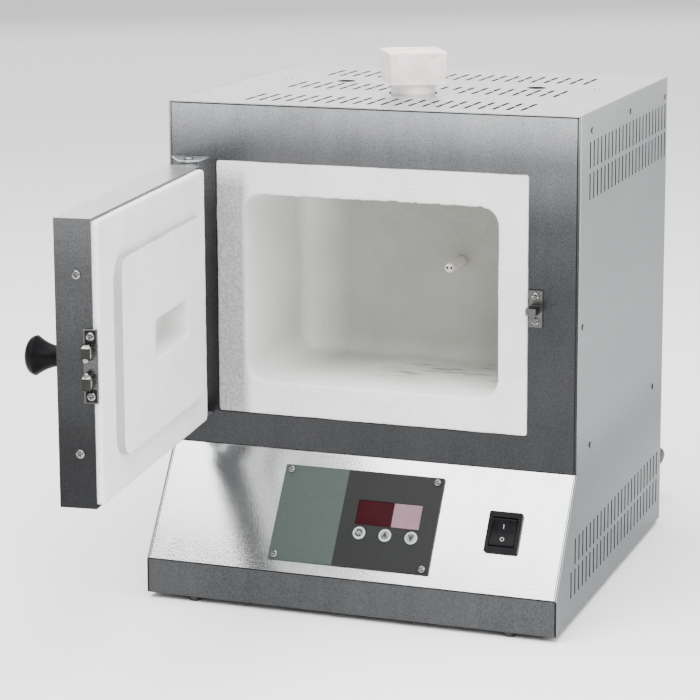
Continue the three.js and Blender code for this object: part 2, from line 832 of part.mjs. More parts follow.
// The coil takes up the length that the two free stretches leave. Both run on straight beside it.
function cordCoil() {
	const straightRuns = leadRoute.at(-1)[0] - tailRoute[0][0];
	const coiled = cordLength - curve(leadRoute).getLength() - straightRuns - curve(tailRoute).getLength();
	const meanRadius = coiled / (coilTurns * 2 * Math.PI);
	const inner = meanRadius - 3 * cordRadius;
	const outer = meanRadius + 3 * cordRadius;
	const ring = new THREE.LatheGeometry([
		new THREE.Vector2(inner, 0.2),
		new THREE.Vector2(outer, 0.2),
		new THREE.Vector2(outer, coilHeight),
		new THREE.Vector2(inner, coilHeight),
		new THREE.Vector2(inner, 0.2),
	], 32);
	const outerTurnY = leadRoute.at(-1)[1];
	return ring.rotateX(Math.PI / 2).translate(coilX, outerTurnY - meanRadius - 2 * cordRadius, 0);
}

// The plug lies on its side with its blades pointing left.
function mainsPlug() {
	const y = tailRoute.at(-1)[1];
	const back = tailRoute.at(-1)[0] - gap;
	const shoulder = back - 20;
	const face = shoulder - 30;
	const neck = turned([[0, -1], [9, -1], [8, 2], [6, 20], [0, 20]])
		.rotateY(Math.PI / 2)
		.translate(shoulder, y, plugHeight);
	const body = sidePlate(roundedRectangle(y, plugHeight, 30, 21.6, 6), [], face, shoulder);
	add('plug_body', join(neck, body), blackRubber);
	const tip = face - gap - 16;
	for (const [name, side] of [['near_plug_blade', -1], ['far_plug_blade', 1]]) {
		const middle = y + side * 6.35;
		add(name, block(tip, face - gap, middle - 0.75, middle + 0.75, plugHeight - 0.5, plugHeight + 5.8), brass);
	}
	const pin = rod(2.4, 0, 18).rotateY(-Math.PI / 2);
	add('plug_ground_pin', pin.translate(face - gap, y, plugHeight - 6.5), brass);
}

function mainsLead() {
	const relief = turned([
		[0, -12],
		[6, -12],
		[6, 0.4],
		[8.5, 0.4],
		[8.5, 3],
		[7.8, 5],
		[6.3, reliefLength],
		[0, reliefLength],
	]);
	add('strain_relief', relief.rotateX(-Math.PI / 2).translate(cordExit.x, caseDepth, cordExit.z), blackRubber);
	add('power_cord', tube(leadRoute, 20), blackRubber);
	add('power_cord_tail', tube(tailRoute, 9), blackRubber);
	add('cord_coil', cordCoil(), blackRubber);
	mainsPlug();
}

// Everything but the lead sets the middle of the kiln's box.
function middleOfBox() {
	kiln.updateMatrixWorld(true);
	const box = new THREE.Box3();
	for (const part of kiln.children) box.expandByObject(part, true);
	return box.getCenter(new THREE.Vector3());
}

const middle = middleOfBox();
mainsLead();
kiln.position.set(-middle.x, -middle.y, 0);

export default kiln;
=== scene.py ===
"""The looks of a bench-top glass kiln with its door open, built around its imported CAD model.

Metres, in the model's frame. Seen from the front, +X is right, +Y is back and +Z is up.
"""

import json
import math

import bmesh
import bpy
from mathutils import Matrix, Vector, noise


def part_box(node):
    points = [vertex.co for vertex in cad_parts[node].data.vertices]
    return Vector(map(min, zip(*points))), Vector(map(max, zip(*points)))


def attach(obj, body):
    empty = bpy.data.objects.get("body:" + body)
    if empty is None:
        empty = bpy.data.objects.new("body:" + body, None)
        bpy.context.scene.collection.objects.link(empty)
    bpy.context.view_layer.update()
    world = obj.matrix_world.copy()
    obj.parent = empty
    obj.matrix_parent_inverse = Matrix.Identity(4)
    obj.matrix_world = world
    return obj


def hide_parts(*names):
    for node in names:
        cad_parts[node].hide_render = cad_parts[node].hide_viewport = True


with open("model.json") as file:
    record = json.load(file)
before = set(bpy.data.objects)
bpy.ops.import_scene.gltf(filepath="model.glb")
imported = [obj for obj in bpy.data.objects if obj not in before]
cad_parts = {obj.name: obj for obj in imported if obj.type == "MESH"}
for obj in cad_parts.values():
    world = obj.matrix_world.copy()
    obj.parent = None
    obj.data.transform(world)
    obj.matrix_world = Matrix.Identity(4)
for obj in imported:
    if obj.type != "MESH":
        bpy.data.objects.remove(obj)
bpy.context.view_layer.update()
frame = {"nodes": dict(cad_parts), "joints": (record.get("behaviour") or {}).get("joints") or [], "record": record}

MM = 0.001
nodes = frame["nodes"]
joints = {joint["name"]: joint for joint in frame["joints"]}
collection = bpy.context.scene.collection


# ---------------- places taken from the frame

def low(node):
    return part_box(node)[0]


def high(node):
    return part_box(node)[1]


def middle(node):
    return (low(node) + high(node)) / 2


FACE_Y = low("front_frame").y  # the upright front of the case
CASE_TOP = high("top_panel").z

def moved(x, y, z):
    return Matrix.Translation((x, y, z))


def at(x, y, z):
    """A point given in millimetres from the middle of the case's upright front face, at the floor."""
    return Vector((x * MM, FACE_Y + y * MM, z * MM))


KNEE_Z = low("front_frame").z
LIP_TOP = high("base_pan").z
LIP_Y = low("base_pan").y
slope_angle = math.atan2(KNEE_Z - LIP_TOP, FACE_Y - LIP_Y)
SLOPE = moved(0, FACE_Y, KNEE_Z) @ Matrix.Rotation(slope_angle, 4, "X")

swing = joints["door_swing"]
DOOR = (
    moved(swing["pos_m"][0], swing["pos_m"][1], 0)
    @ Matrix.Rotation(-math.radians(swing["range_deg"][1]), 4, "Z")
)
TO_BACK = Matrix.Rotation(-math.pi / 2, 4, "X")  # turns +Z to +Y
TO_FRONT = Matrix.Rotation(math.pi / 2, 4, "X")  # turns +Z to -Y
TO_RIGHT = Matrix.Rotation(math.pi / 2, 4, "Y")  # turns +Z to +X
TO_LEFT = Matrix.Rotation(-math.pi / 2, 4, "Y")  # turns +Z to -X
FLIP = Matrix.Rotation(math.pi, 4, "X")
# How an outline's two coordinates and its height lie along the axes:
OUTLINE_XZ = Matrix(((1, 0, 0, 0), (0, 0, 1, 0), (0, 1, 0, 0), (0, 0, 0, 1)))  # drawn in X and Z
OUTLINE_YZ = Matrix(((0, 0, 1, 0), (1, 0, 0, 0), (0, 1, 0, 0), (0, 0, 0, 1)))  # drawn in Y and Z
OUTLINE_YX = Matrix(((0, 1, 0, 0), (1, 0, 0, 0), (0, 0, 1, 0), (0, 0, 0, 1)))  # drawn in Y and X
UPRIGHT = moved(0, FACE_Y, 0) @ OUTLINE_XZ
DOOR_UPRIGHT = DOOR @ OUTLINE_XZ


def spun(degrees):
    return Matrix.Rotation(math.radians(degrees), 4, "Z")


def local(node, place):
    """(lowest, highest corner) of a CAD node, in the turned frame that it was drawn in."""
    back = place.inverted()
    points = [back @ vertex.co for vertex in nodes[node].data.vertices]
    return (
        Vector([min(p[i] for p in points) for i in range(3)]),
        Vector([max(p[i] for p in points) for i in range(3)]),
    )


def local_mm(node, place):
    """The same corners, in millimetres."""
    return [corner / MM for corner in local(node, place)]


# ---------------- camera

CAMERA_PLACE = (0.6377, -1.7755, 0.6246)
CAMERA_YAW, CAMERA_PITCH, CAMERA_ROLL = 20.07, -10.5, -0.23  # degrees; the yaw turns it to the left
SENSOR, LENS = 36, 127.6
SHIFT_X, SHIFT_Y = -0.004, -0.1286


def camera():
    yaw, pitch, roll = (math.radians(a) for a in (CAMERA_YAW, CAMERA_PITCH, CAMERA_ROLL))
    forward = Vector((
        -math.sin(yaw) * math.cos(pitch),
        math.cos(yaw) * math.cos(pitch),
        math.sin(pitch),
    ))
    level = Vector((math.cos(yaw), math.sin(yaw), 0))
    above = level.cross(forward)
    right = level * math.cos(roll) + above * math.sin(roll)
    up = above * math.cos(roll) - level * math.sin(roll)
    data = bpy.data.cameras.new("camera")
    data.sensor_width = SENSOR
    data.lens = LENS
    data.shift_x, data.shift_y = SHIFT_X, SHIFT_Y
    view = bpy.data.objects.new("camera", data)
    turn = Matrix((right, up, -forward)).transposed().to_4x4()
    view.matrix_world = Matrix.Translation(CAMERA_PLACE) @ turn
    collection.objects.link(view)
    bpy.context.scene.camera = view


camera()


# ---------------- materials

def grey(value):
    return (value, value, value)


class Recipe:
    """A material's node tree, with short calls for the nodes that the finishes share."""

    def __init__(self, name, **sockets):
        self.material = bpy.data.materials.new(name)
        self.material.use_nodes = True
        self.tree = self.material.node_tree
        self.shader = self.tree.nodes["Principled BSDF"]
        for socket, value in sockets.items():
            self.feed(value, self.shader.inputs[socket.replace("_", " ")])
        self.place = self.node("TexCoord").outputs["Object"]

    def feed(self, value, socket):
        """Sets an input to a number or an RGB tuple, or links another node's output to it."""
        if isinstance(value, (int, float)):
            socket.default_value = value
        elif isinstance(value, tuple):
            socket.default_value = (*value, 1)
        else:
            self.tree.links.new(value, socket)

    def node(self, kind, **sockets):
        node = self.tree.nodes.new("ShaderNode" + kind)
        for socket, value in sockets.items():
            self.feed(value, node.inputs[socket.replace("_", " ")])
        return node

    def grain(self, size, detail, stretch=None):
        """Noise from 0 to 1 whose features are about size metres across."""
        place = self.place
        if stretch:
            mapping = self.node("Mapping", Vector=place)
            mapping.inputs["Scale"].default_value = stretch
            place = mapping.outputs["Vector"]
        return self.node("TexNoise", Vector=place, Scale=1 / size, Detail=detail).outputs["Fac"]

    def patches(self, size, detail, start, end, stretch=None):
        """Grain with its values from start to end spread over 0 to 1."""
        return self.ranged(self.grain(size, detail, stretch), start, end)

    def ranged(self, value, start, end, to=(0.0, 1.0)):
        node = self.node("MapRange", Value=value, From_Min=start, From_Max=end, To_Min=to[0], To_Max=to[1])
        return node.outputs["Result"]

    def maths(self, operation, first, second):
        node = self.node("Math")
        node.operation = operation
        self.feed(first, node.inputs[0])
        self.feed(second, node.inputs[1])
        return node.outputs["Value"]

    def times(self, first, second):
        return self.maths("MULTIPLY", first, second)

    def plus(self, first, second):
        return self.maths("ADD", first, second)

    def along(self, axis, start, end):
        """0 to 1 between two places along an axis."""
        return self.ranged(self.node("SeparateXYZ", Vector=self.place).outputs[axis], start, end)

    def mixed(self, factor, first, second, blend="MIX"):
        """A colour between two, each an RGB tuple or another node's colour."""
        node = self.node("Mix")
        node.data_type = "RGBA"
        node.blend_type = blend
        self.feed(factor, node.inputs["Factor"])
        self.feed(first, node.inputs[6])
        self.feed(second, node.inputs[7])
        return node.outputs[2]

    def shaded(self, colour, painted_reflection):
        """The colour with painted reflection and shade: darker or lighter with height as the ramp says."""
        tallest = painted_reflection[-1][0]
        ramp = self.node("ValToRGB", Fac=self.along("Z", 0, tallest))
        ramp.color_ramp.interpolation = "EASE"
        stops = ramp.color_ramp.elements
        while len(stops) < len(painted_reflection):
            stops.new(0.5)
        for stop, (height, shade) in zip(stops, painted_reflection):
            stop.position = height / tallest
            stop.color = (*grey(shade), 1)
        return self.mixed(1, colour, ramp.outputs["Color"], "MULTIPLY")

    def colour(self, output):
        self.feed(output, self.shader.inputs["Base Color"])

    def roughness(self, output):
        self.feed(output, self.shader.inputs["Roughness"])

    def bumped(self, height, strength, distance):
        """The finished material, with its bump."""
        node = self.node("Bump", Height=height, Strength=strength, Distance=distance)
        self.feed(node.outputs["Normal"], self.shader.inputs["Normal"])
        return self.material


def sheet_steel(name, dark, light, roughness, painted_reflection, **sockets):
    """Coated sheet steel: a fine salt-and-pepper grain, cloudy patches and faint rolling streaks.
    The ramp is a list of (height in metres, shade), between which the steel's tone changes softly: painted
    reflection and shade, lighter where the steel would mirror bright surroundings and darker where it would mirror
    dark ones."""
    recipe = Recipe(name, Metallic=0.92, **sockets)
    fine = recipe.patches(0.0011, 2, 0.32, 0.68)
    clouds = recipe.patches(0.07, 3, 0.3, 0.7)
    rolled = recipe.patches(0.012, 3, 0.3, 0.7, stretch=(1, 1, 0.12))
    tone = recipe.plus(recipe.times(fine, 0.6), recipe.times(clouds, 0.24))
    tone = recipe.plus(tone, recipe.times(rolled, 0.16))
    recipe.colour(recipe.shaded(recipe.mixed(tone, dark, light), painted_reflection))
    recipe.roughness(recipe.ranged(tone, 0, 1, roughness))
    return recipe.bumped(fine, 0.12, 0.0002)


def ceramic_fibre(name, shade, light, pit=0.0022, strength=0.5):
    """Moulded ceramic fibre: off-white, dull, with a stippled and slightly woolly surface."""
    recipe = Recipe(name, Roughness=0.95, Specular_IOR_Level=0.15)
    stipple = recipe.grain(pit, 6)
    clouds = recipe.patches(0.05, 4, 0.35, 0.7)
    fine = recipe.ranged(stipple, 0.35, 0.65)
    tone = recipe.plus(recipe.times(fine, 0.35), recipe.times(clouds, 0.65))
    recipe.colour(recipe.mixed(tone, shade, light))
    return recipe.bumped(stipple, strength, 0.0012)


def moulded(name, colour, worn, roughness, gloss=0.5, grain=0.0006, bump=0.08):
    """Moulded plastic or rubber: an even colour with a fine grain and slight changes in gloss."""
    recipe = Recipe(name, Specular_IOR_Level=gloss)
    patches = recipe.patches(0.015, 4, 0.35, 0.7)
    recipe.colour(recipe.mixed(patches, colour, worn))
    recipe.roughness(recipe.ranged(patches, 0, 1, roughness))
    return recipe.bumped(recipe.grain(grain, 3), bump, 0.0002)


def plated(name, dark, light, roughness):
    """Plated or turned metal, with fine scratches."""
    recipe = Recipe(name, Metallic=1.0)
    scratches = recipe.patches(0.002, 5, 0.3, 0.7, stretch=(1, 1, 6))
    recipe.colour(recipe.mixed(scratches, dark, light))
    recipe.roughness(recipe.ranged(scratches, 0, 1, roughness))
    return recipe.bumped(scratches, 0.06, 0.0001)


def fired_brick():
    """Soft insulating firebrick: chalky, warm white with a few darker pits."""
    recipe = Recipe("firebrick", Roughness=0.95, Specular_IOR_Level=0.2)
    cells = recipe.node("TexVoronoi", Vector=recipe.place, Scale=1 / 0.004).outputs["Distance"]
    pits = recipe.ranged(cells, 0.08, 0.3)
    clouds = recipe.patches(0.018, 5, 0.35, 0.65)
    chalk = recipe.mixed(clouds, (0.72, 0.66, 0.63), (0.87, 0.83, 0.80))
    recipe.colour(recipe.mixed(pits, (0.66, 0.59, 0.55), chalk))
    return recipe.bumped(recipe.plus(pits, recipe.grain(0.0015, 5)), 0.35, 0.0008)


def chamber_fibre():
    """The muffle's fibre: white in front and greyer deeper inside, which is painted shade, except on the left
    wall, which is left white as if lit; a darker strip beside the hinge, which is the open door's painted shadow;
    and a few faint stains on the chamber's floor."""
    recipe = Recipe("chamber_fibre_stains_and_shade", Roughness=0.96, Specular_IOR_Level=0.12)
    stipple = recipe.grain(0.0026, 6)
    clouds = recipe.patches(0.06, 4, 0.35, 0.7)
    front = recipe.mixed(clouds, (0.72, 0.72, 0.71), (0.82, 0.82, 0.81))
    # painted shade: the grey that the chamber's walls take deeper inside, kept off the left wall, which is left
    # white as if lit
    shaded_inside = recipe.mixed(clouds, (0.38, 0.38, 0.35), (0.47, 0.47, 0.44))
    depth_shade = recipe.along("Y", FACE_Y + 0.02, FACE_Y + 0.10)
    off_lit_left_wall = recipe.along("X", -0.100, -0.065)
    white = recipe.mixed(recipe.times(depth_shade, off_lit_left_wall), front, shaded_inside)

    # painted shadow: the open door's shadow on the face's strip beside the hinge, below its top corner
    beside_hinge = recipe.along("X", -0.100, -0.108)
    under_corner = recipe.along("Z", 0.344, 0.325)
    on_face = recipe.along("Y", FACE_Y + 0.003, FACE_Y + 0.001)
    worn = recipe.times(recipe.times(beside_hinge, under_corner), on_face)
    door_shadow_tone = recipe.mixed(recipe.ranged(stipple, 0.35, 0.65), (0.27, 0.27, 0.265), (0.38, 0.38, 0.375))
    white = recipe.mixed(worn, white, door_shadow_tone)

    spots = recipe.ranged(recipe.grain(0.022, 8, (0.7, 2.0, 1)), 0.53, 0.66, (0.0, 0.9))
    on_floor = recipe.along("Z", CHAMBER_FLOOR + 0.004, CHAMBER_FLOOR)
    behind = recipe.along("Y", FACE_Y + 0.03, FACE_Y + 0.06)
    spill = recipe.times(behind, recipe.along("X", -0.02, 0.01))
    stains = recipe.times(recipe.times(spots, on_floor), spill)
    recipe.colour(recipe.mixed(stains, white, (0.20, 0.19, 0.16)))
    return recipe.bumped(stipple, 0.8, 0.0016)


def printed_plate():
    """The controller's faceplate: pale grey-green on the left and dark grey on the right."""
    recipe = Recipe("faceplate_print", Specular_IOR_Level=0.08)
    split = recipe.along("X", PLATE_SPLIT - 0.0001, PLATE_SPLIT + 0.0001)
    flecks = recipe.patches(0.0008, 3, 0.3, 0.7)
    pale = recipe.mixed(flecks, (0.038, 0.050, 0.045), (0.054, 0.068, 0.062))
    dark = recipe.mixed(flecks, (0.012, 0.0125, 0.0125), (0.020, 0.0205, 0.0205))
    recipe.colour(recipe.mixed(split, pale, dark))
    recipe.roughness(recipe.ranged(flecks, 0, 1, (0.42, 0.5)))
    return recipe.bumped(flecks, 0.05, 0.0001)


def display_lens():
    """A smoked red window: dark over the digits' left part, with a painted reflection of pale light on its right.
    """
    recipe = Recipe("display_red", Roughness=0.3, Specular_IOR_Level=0.05)
    split = recipe.along("X", DISPLAY_GLARE_EDGE - 0.0002, DISPLAY_GLARE_EDGE + 0.0002)
    smear = recipe.patches(0.012, 4, 0.35, 0.7)
    red = recipe.mixed(smear, (0.017, 0.0007, 0.0025), (0.025, 0.0012, 0.004))
    # painted reflection: the pale colour on the window's right
    pale = recipe.mixed(smear, (0.17, 0.105, 0.125), (0.21, 0.135, 0.155))
    recipe.colour(recipe.mixed(split, red, pale))
    return recipe.material


CHAMBER_FLOOR = at(0, 0, 170.05).z
PLATE_SPLIT = -0.0136  # x at which the faceplate turns dark
# the window's painted reflection starts at this x
DISPLAY_GLARE_EDGE = 0.0285  # x at which the window turns pale
# Painted reflection and shade: each ramp below lightens or darkens the steel by height, standing in for the bright
# and dark surroundings it mirrors; BRIGHT paints none. The front's steel is darkest low down and light at its top.
FRONT_PAINTED_REFLECTION = [
    (0, 0.12), (0.04, 0.11), (0.12, 0.07), (0.25, 0.08), (0.30, 0.115), (0.35, 0.26), (0.40, 0.9),
]
# painted reflection and shade: the door's steel darkens towards its bottom
DOOR_PAINTED_REFLECTION = [(0, 0.035), (0.18, 0.04), (0.24, 0.075), (0.30, 0.13), (0.35, 0.22), (0.40, 0.25)]
# painted reflection: the sides' steel has a dark band low down and lightens towards the top
SIDE_PAINTED_REFLECTION = [
    (0, 0.32), (0.06, 0.27), (0.11, 0.20), (0.16, 0.33), (0.25, 0.42), (0.33, 0.52), (0.40, 0.9),
]
BRIGHT = [(0, 1), (0.40, 1)]
MILLED = ((0.30, 0.31, 0.33), (0.68, 0.69, 0.71), (0.30, 0.42))  # dark, light and roughness of bare sheet
finish_list = [
    sheet_steel("galvanised_steel", (0.48, 0.49, 0.50), (0.74, 0.75, 0.76), (0.22, 0.34), BRIGHT),
    sheet_steel("dark_steel", *MILLED, FRONT_PAINTED_REFLECTION),
    ceramic_fibre("ceramic_fibre", (0.70, 0.70, 0.69), (0.80, 0.80, 0.79)),
    ceramic_fibre("fibre_board", (0.10, 0.095, 0.085), (0.16, 0.15, 0.135), pit=0.004),
    fired_brick(),
    moulded("ceramic", (0.74, 0.69, 0.63), (0.85, 0.81, 0.76), (0.5, 0.7), grain=0.001, bump=0.2),
    moulded("black_plastic", (0.004, 0.004, 0.0045), (0.008, 0.008, 0.009), (0.3, 0.42), gloss=0.05),
    moulded("black_rubber", (0.010, 0.010, 0.011), (0.022, 0.022, 0.023), (0.5, 0.66), bump=0.15),
    plated("nickel_steel", (0.12, 0.12, 0.117), (0.30, 0.30, 0.29), (0.16, 0.28)),
    plated("element_alloy", (0.20, 0.17, 0.14), (0.30, 0.26, 0.21), (0.5, 0.65)),
    printed_plate(),
    display_lens(),
    moulded("circuit_green", (0.015, 0.12, 0.05), (0.03, 0.19, 0.09), (0.35, 0.5), grain=0.003),
    plated("brass", (0.62, 0.46, 0.20), (0.78, 0.62, 0.33), (0.22, 0.36)),
]
# By material slot. A finish whose name a CAD material already has gets a number, which is left off here.
finishes = {finish.name.split(".")[0]: finish for finish in finish_list}

side_steel = sheet_steel(
    "side_steel", (0.50, 0.52, 0.525), (0.70, 0.72, 0.725), (0.24, 0.36), SIDE_PAINTED_REFLECTION,
    Specular_Tint=(0.60, 0.63, 0.635),
)
slope_steel = sheet_steel("slope_steel", (0.40, 0.41, 0.42), (0.70, 0.71, 0.72), (0.10, 0.19), BRIGHT)
door_steel = sheet_steel("door_steel", *MILLED, DOOR_PAINTED_REFLECTION)
# near-black: the seams' dark joints, and painted shade in slots, bores and recesses
dark_joint_and_shade = moulded("dark_joint_and_shade", grey(0.008), grey(0.016), (0.7, 0.8), gloss=0.1)
worn_nickel = plated("worn_nickel", (0.045, 0.045, 0.043), (0.12, 0.12, 0.117), (0.22, 0.34))
dark_bronze = moulded("dark_bronze", (0.010, 0.0095, 0.008), (0.020, 0.019, 0.016), (0.3, 0.4), gloss=0.2)
chamber_fibre_stains_and_shade = chamber_fibre()
fibre_painted_shade = ceramic_fibre("fibre_painted_shade", (0.32, 0.32, 0.315), (0.40, 0.40, 0.395))
fibre_painted_light = ceramic_fibre("fibre_painted_light", (0.84, 0.84, 0.83), (0.94, 0.94, 0.93), strength=0.9)
key_print = moulded("key_print", (0.36, 0.39, 0.39), (0.43, 0.46, 0.46), (0.45, 0.55), gloss=0.1)
key_grey = moulded("key_grey", (0.17, 0.18, 0.18), (0.22, 0.23, 0.23), (0.45, 0.55), gloss=0.1)
ink_dark = moulded("ink_dark", (0.02, 0.021, 0.022), (0.03, 0.031, 0.032), (0.5, 0.6), gloss=0.1)
ink_white = moulded("ink_white", grey(0.34), grey(0.42), (0.4, 0.5), gloss=0.1)

slot_of = {part["node"]: part["material_slot"] for part in frame["record"]["subparts"]}
for name, node in nodes.items():
    node.data.materials.clear()
    node.data.materials.append(finishes[slot_of[name]])


LARGEST_CUT_WALL = 4e-5  # square metres


def shade_slot_walls(name):
    """Gives the sheared walls of a panel's slots and holes a near-black finish: painted shade, standing in for the
    dark seen through the slots.
    """
    node = nodes[name]
    node.data.materials.append(dark_joint_and_shade)
    lo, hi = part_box(name)
    thin = min(range(3), key=lambda i: hi[i] - lo[i])
    for polygon in node.data.polygons:
        if abs(polygon.normal[thin]) < 0.5 and polygon.area < LARGEST_CUT_WALL:
            polygon.material_index = 1


for name in ("left_side_panel", "right_side_panel", "top_panel", "back_panel"):
    shade_slot_walls(name)

for name, look in (
    ("left_side_panel", side_steel), ("right_side_panel", side_steel), ("strike_plate", worn_nickel),
    ("control_panel", slope_steel), ("door_pan", door_steel),
):
    nodes[name].data.materials[0] = look

# painted light: the door pan's upward faces at its top take the roof's brighter steel, as bright as the roof,
# standing in for the overhead light they catch
door_pan = nodes["door_pan"].data
door_pan.materials.append(finishes["galvanised_steel"])
for polygon in door_pan.polygons:
    if polygon.normal.z > 0.9 and polygon.center.z > at(0, 0, 340).z:
        polygon.material_index = 1


# ---------------- mesh helpers

def smooth(piece):
    for polygon in piece.data.polygons:
        polygon.use_smooth = True
    piece.data.set_sharp_from_angle(angle=math.radians(40))


def piece_from(name, mesh, body, slot, replaces=(), looks=()):
    """Links a finished bmesh as one piece that rides on a body, in its slot's finish or in the looks."""
    bmesh.ops.remove_doubles(mesh, verts=mesh.verts, dist=1e-7)
    bmesh.ops.recalc_face_normals(mesh, faces=mesh.faces)
    data = bpy.data.meshes.new(name)
    mesh.to_mesh(data)
    mesh.free()
    piece = bpy.data.objects.new(name, data)
    collection.objects.link(piece)
    for material in looks or [finishes[slot]]:
        data.materials.append(material)
    smooth(piece)
    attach(piece, body)
    if replaces:
        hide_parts(*replaces)
    return piece


def turned_piece(name, profile, place, body, slot, replaces=(), segments=48, looks=()):
    mesh = bmesh.new()
    turned(mesh, profile, place, segments)
    return piece_from(name, mesh, body, slot, replaces, looks)


def lofted_piece(name, sections, place, body, slot, replaces=(), looks=()):
    mesh = bmesh.new()
    loft(mesh, sections, place)
    return piece_from(name, mesh, body, slot, replaces, looks)


def soften(piece, width, segments=2):
    """Rounds a piece's edges."""
    weld = piece.modifiers.new("weld", "WELD")
    weld.merge_threshold = 1e-6
    bevel = piece.modifiers.new("bevel", "BEVEL")
    bevel.width = width
    bevel.segments = segments
    bevel.limit_method = "ANGLE"
    bevel.angle_limit = math.radians(30)
    for polygon in piece.data.polygons:
        polygon.use_smooth = False


def loop(x, y, width, height, radius, across=1, up=1, arc=6):
    """Points round a rectangle with round corners, anticlockwise: arc steps to a corner,
    across steps along the top and bottom and up steps along the sides."""
    corners = [(1, 1), (-1, 1), (-1, -1), (1, -1)]
    arcs = []
    for turn, (side_x, side_y) in enumerate(corners):
        centre = (x + side_x * (width / 2 - radius), y + side_y * (height / 2 - radius))
        angles = [(turn + i / arc) * math.pi / 2 for i in range(arc + 1)]
        arcs.append([(centre[0] + radius * math.cos(a), centre[1] + radius * math.sin(a)) for a in angles])
    points = []
    for turn in range(4):
        points += arcs[turn]
        start, end = arcs[turn][-1], arcs[(turn + 1) % 4][0]
        steps = across if turn % 2 == 0 else up
        for i in range(1, steps):
            share = i / steps
            points.append((start[0] + (end[0] - start[0]) * share, start[1] + (end[1] - start[1]) * share))
    return points


def inset_loop(inset, x, y, width, height, radius, tightest, **steps):
    """The same, drawn in by inset all round, with its corners kept from growing too tight."""
    return loop(x, y, width - 2 * inset, height - 2 * inset, max(radius - inset, tightest), **steps)


def between(first, second, steps):
    """The loops between two (points, height) sections, without the first and with the second."""
    sections = []
    for i in range(1, steps + 1):
        share = i / steps
        points = [
            (a[0] + (b[0] - a[0]) * share, a[1] + (b[1] - a[1]) * share)
            for a, b in zip(first[0], second[0])
        ]
        sections.append((points, first[1] + (second[1] - first[1]) * share))
    return sections


def loft(mesh, sections, place):
    """Adds a closed skin through sections, each a list of points and a height, in millimetres."""
    rings = [
        [mesh.verts.new(place @ (Vector((x, y, height)) * MM)) for x, y in points]
        for points, height in sections
    ]
    count = len(rings[0])
    for ring, following in zip(rings, rings[1:]):
        for i in range(count):
            k = (i + 1) % count
            mesh.faces.new((ring[i], ring[k], following[k], following[i]))
    mesh.faces.new(reversed(rings[0]))
    mesh.faces.new(rings[-1])


def turned(mesh, profile, place, segments=48):
    """Adds a turned solid about Z. The profile is a list of (radius, height) in millimetres that starts
    and ends on the axis."""
    turns = [2 * math.pi * i / segments for i in range(segments)]
    rings = []
    for radius, height in profile:
        around = turns if radius else [0]
        rings.append([
            mesh.verts.new(place @ (Vector((radius * math.cos(a), radius * math.sin(a), height)) * MM))
            for a in around
        ])
    for ring, following in zip(rings, rings[1:]):
        for i in range(segments):
            k = (i + 1) % segments
            if len(ring) == 1 and len(following) == 1:
                continue
            if len(ring) == 1:
                mesh.faces.new((ring[0], following[k], following[i]))
            elif len(following) == 1:
                mesh.faces.new((ring[i], ring[k], following[0]))
            else:
                mesh.faces.new((ring[i], ring[k], following[k], following[i]))


def bar(mesh, x0, x1, y0, y1, z0, z1, place, unit=MM):
    corners = [(x, y, z) for z in (z0, z1) for x, y in ((x0, y0), (x1, y0), (x1, y1), (x0, y1))]
    verts = [mesh.verts.new(place @ (Vector(c) * unit)) for c in corners]
    for face in ((0, 3, 2, 1), (4, 5, 6, 7), (0, 1, 5, 4), (1, 2, 6, 5), (2, 3, 7, 6), (3, 0, 4, 7)):
        mesh.faces.new([verts[i] for i in face])


def arch(start, end, steps=4):
    """Points on a quarter turn between two (radius, height) points."""
    points = []
    for i in range(1, steps + 1):
        angle = math.pi / 2 * i / steps
        out, up = math.sin(angle), 1 - math.cos(angle)
        points.append((start[0] + (end[0] - start[0]) * out, start[1] + (end[1] - start[1]) * up))
    return points


def roughen(piece, height, size):
    """Moves a piece's vertices along their normals by noise, so that a moulded surface isn't flat."""
    data = piece.data
    normals = [vertex.normal.copy() for vertex in data.vertices]
    for vertex, normal in zip(data.vertices, normals):
        lift = noise.fractal(vertex.co / size, 0.8, 2.0, 3)
        vertex.co += normal * lift * height


def bored(piece, *cutters):
    """Cuts holes through a piece, each a turned solid made by the caller."""
    for cutter in cutters:
        tool = bpy.data.objects.new("cutter", bpy.data.meshes.new("cutter"))
        cutter.to_mesh(tool.data)
        cutter.free()
        collection.objects.link(tool)
        modifier = piece.modifiers.new("bore", "BOOLEAN")
        modifier.object = tool
        modifier.solver = "EXACT"
        bpy.context.view_layer.update()
        result = bpy.data.meshes.new_from_object(piece.evaluated_get(bpy.context.evaluated_depsgraph_get()))
        piece.modifiers.clear()
        piece.data = result
        bpy.data.objects.remove(tool)
    smooth(piece)


# ---------------- mains lead

CORD_RADIUS = 0.0046
TURN_PITCH = 2 * CORD_RADIUS
CORD_FLOOR = CORD_RADIUS + 0.0002
PLUG_HEIGHT = 0.0112

# From the strain relief, round to the left behind the kiln, down to the floor and up to the coil.
lead_route = [
    (0.156, 0.3166, 0.052),
    (0.156, 0.324, 0.0516),
    (0.1555, 0.334, 0.0486),
    (0.153, 0.346, 0.0424),
    (0.148, 0.358, 0.0346),
    (0.140, 0.3695, 0.0265),
    (0.1295, 0.379, 0.0188),
    (0.1165, 0.387, 0.0124),
    (0.102, 0.393, 0.0078),
    (0.086, 0.3975, 0.0054),
    (0.070, 0.401, CORD_FLOOR),
    (0.052, 0.4044, CORD_FLOOR),
    (0.034, 0.4072, CORD_FLOOR),
    (0.018, 0.4087, CORD_FLOOR),
    (0.0035, 0.4091, CORD_FLOOR),
]

# Off the top of the coil, down to the floor and into the plug.
tail_route = [
    (-0.072, 0.4045, 0.0124),
    (-0.084, 0.4046, 0.0106),
    (-0.098, 0.4048, 0.0076),
    (-0.112, 0.405, 0.0054),
    (-0.126, 0.4052, CORD_FLOOR),
    (-0.138, 0.4054, 0.0052),
    (-0.150, 0.4056, 0.0074),
    (-0.162, 0.4057, 0.0101),
    (-0.172, 0.4058, PLUG_HEIGHT),
    (-0.1785, 0.4058, PLUG_HEIGHT),
]


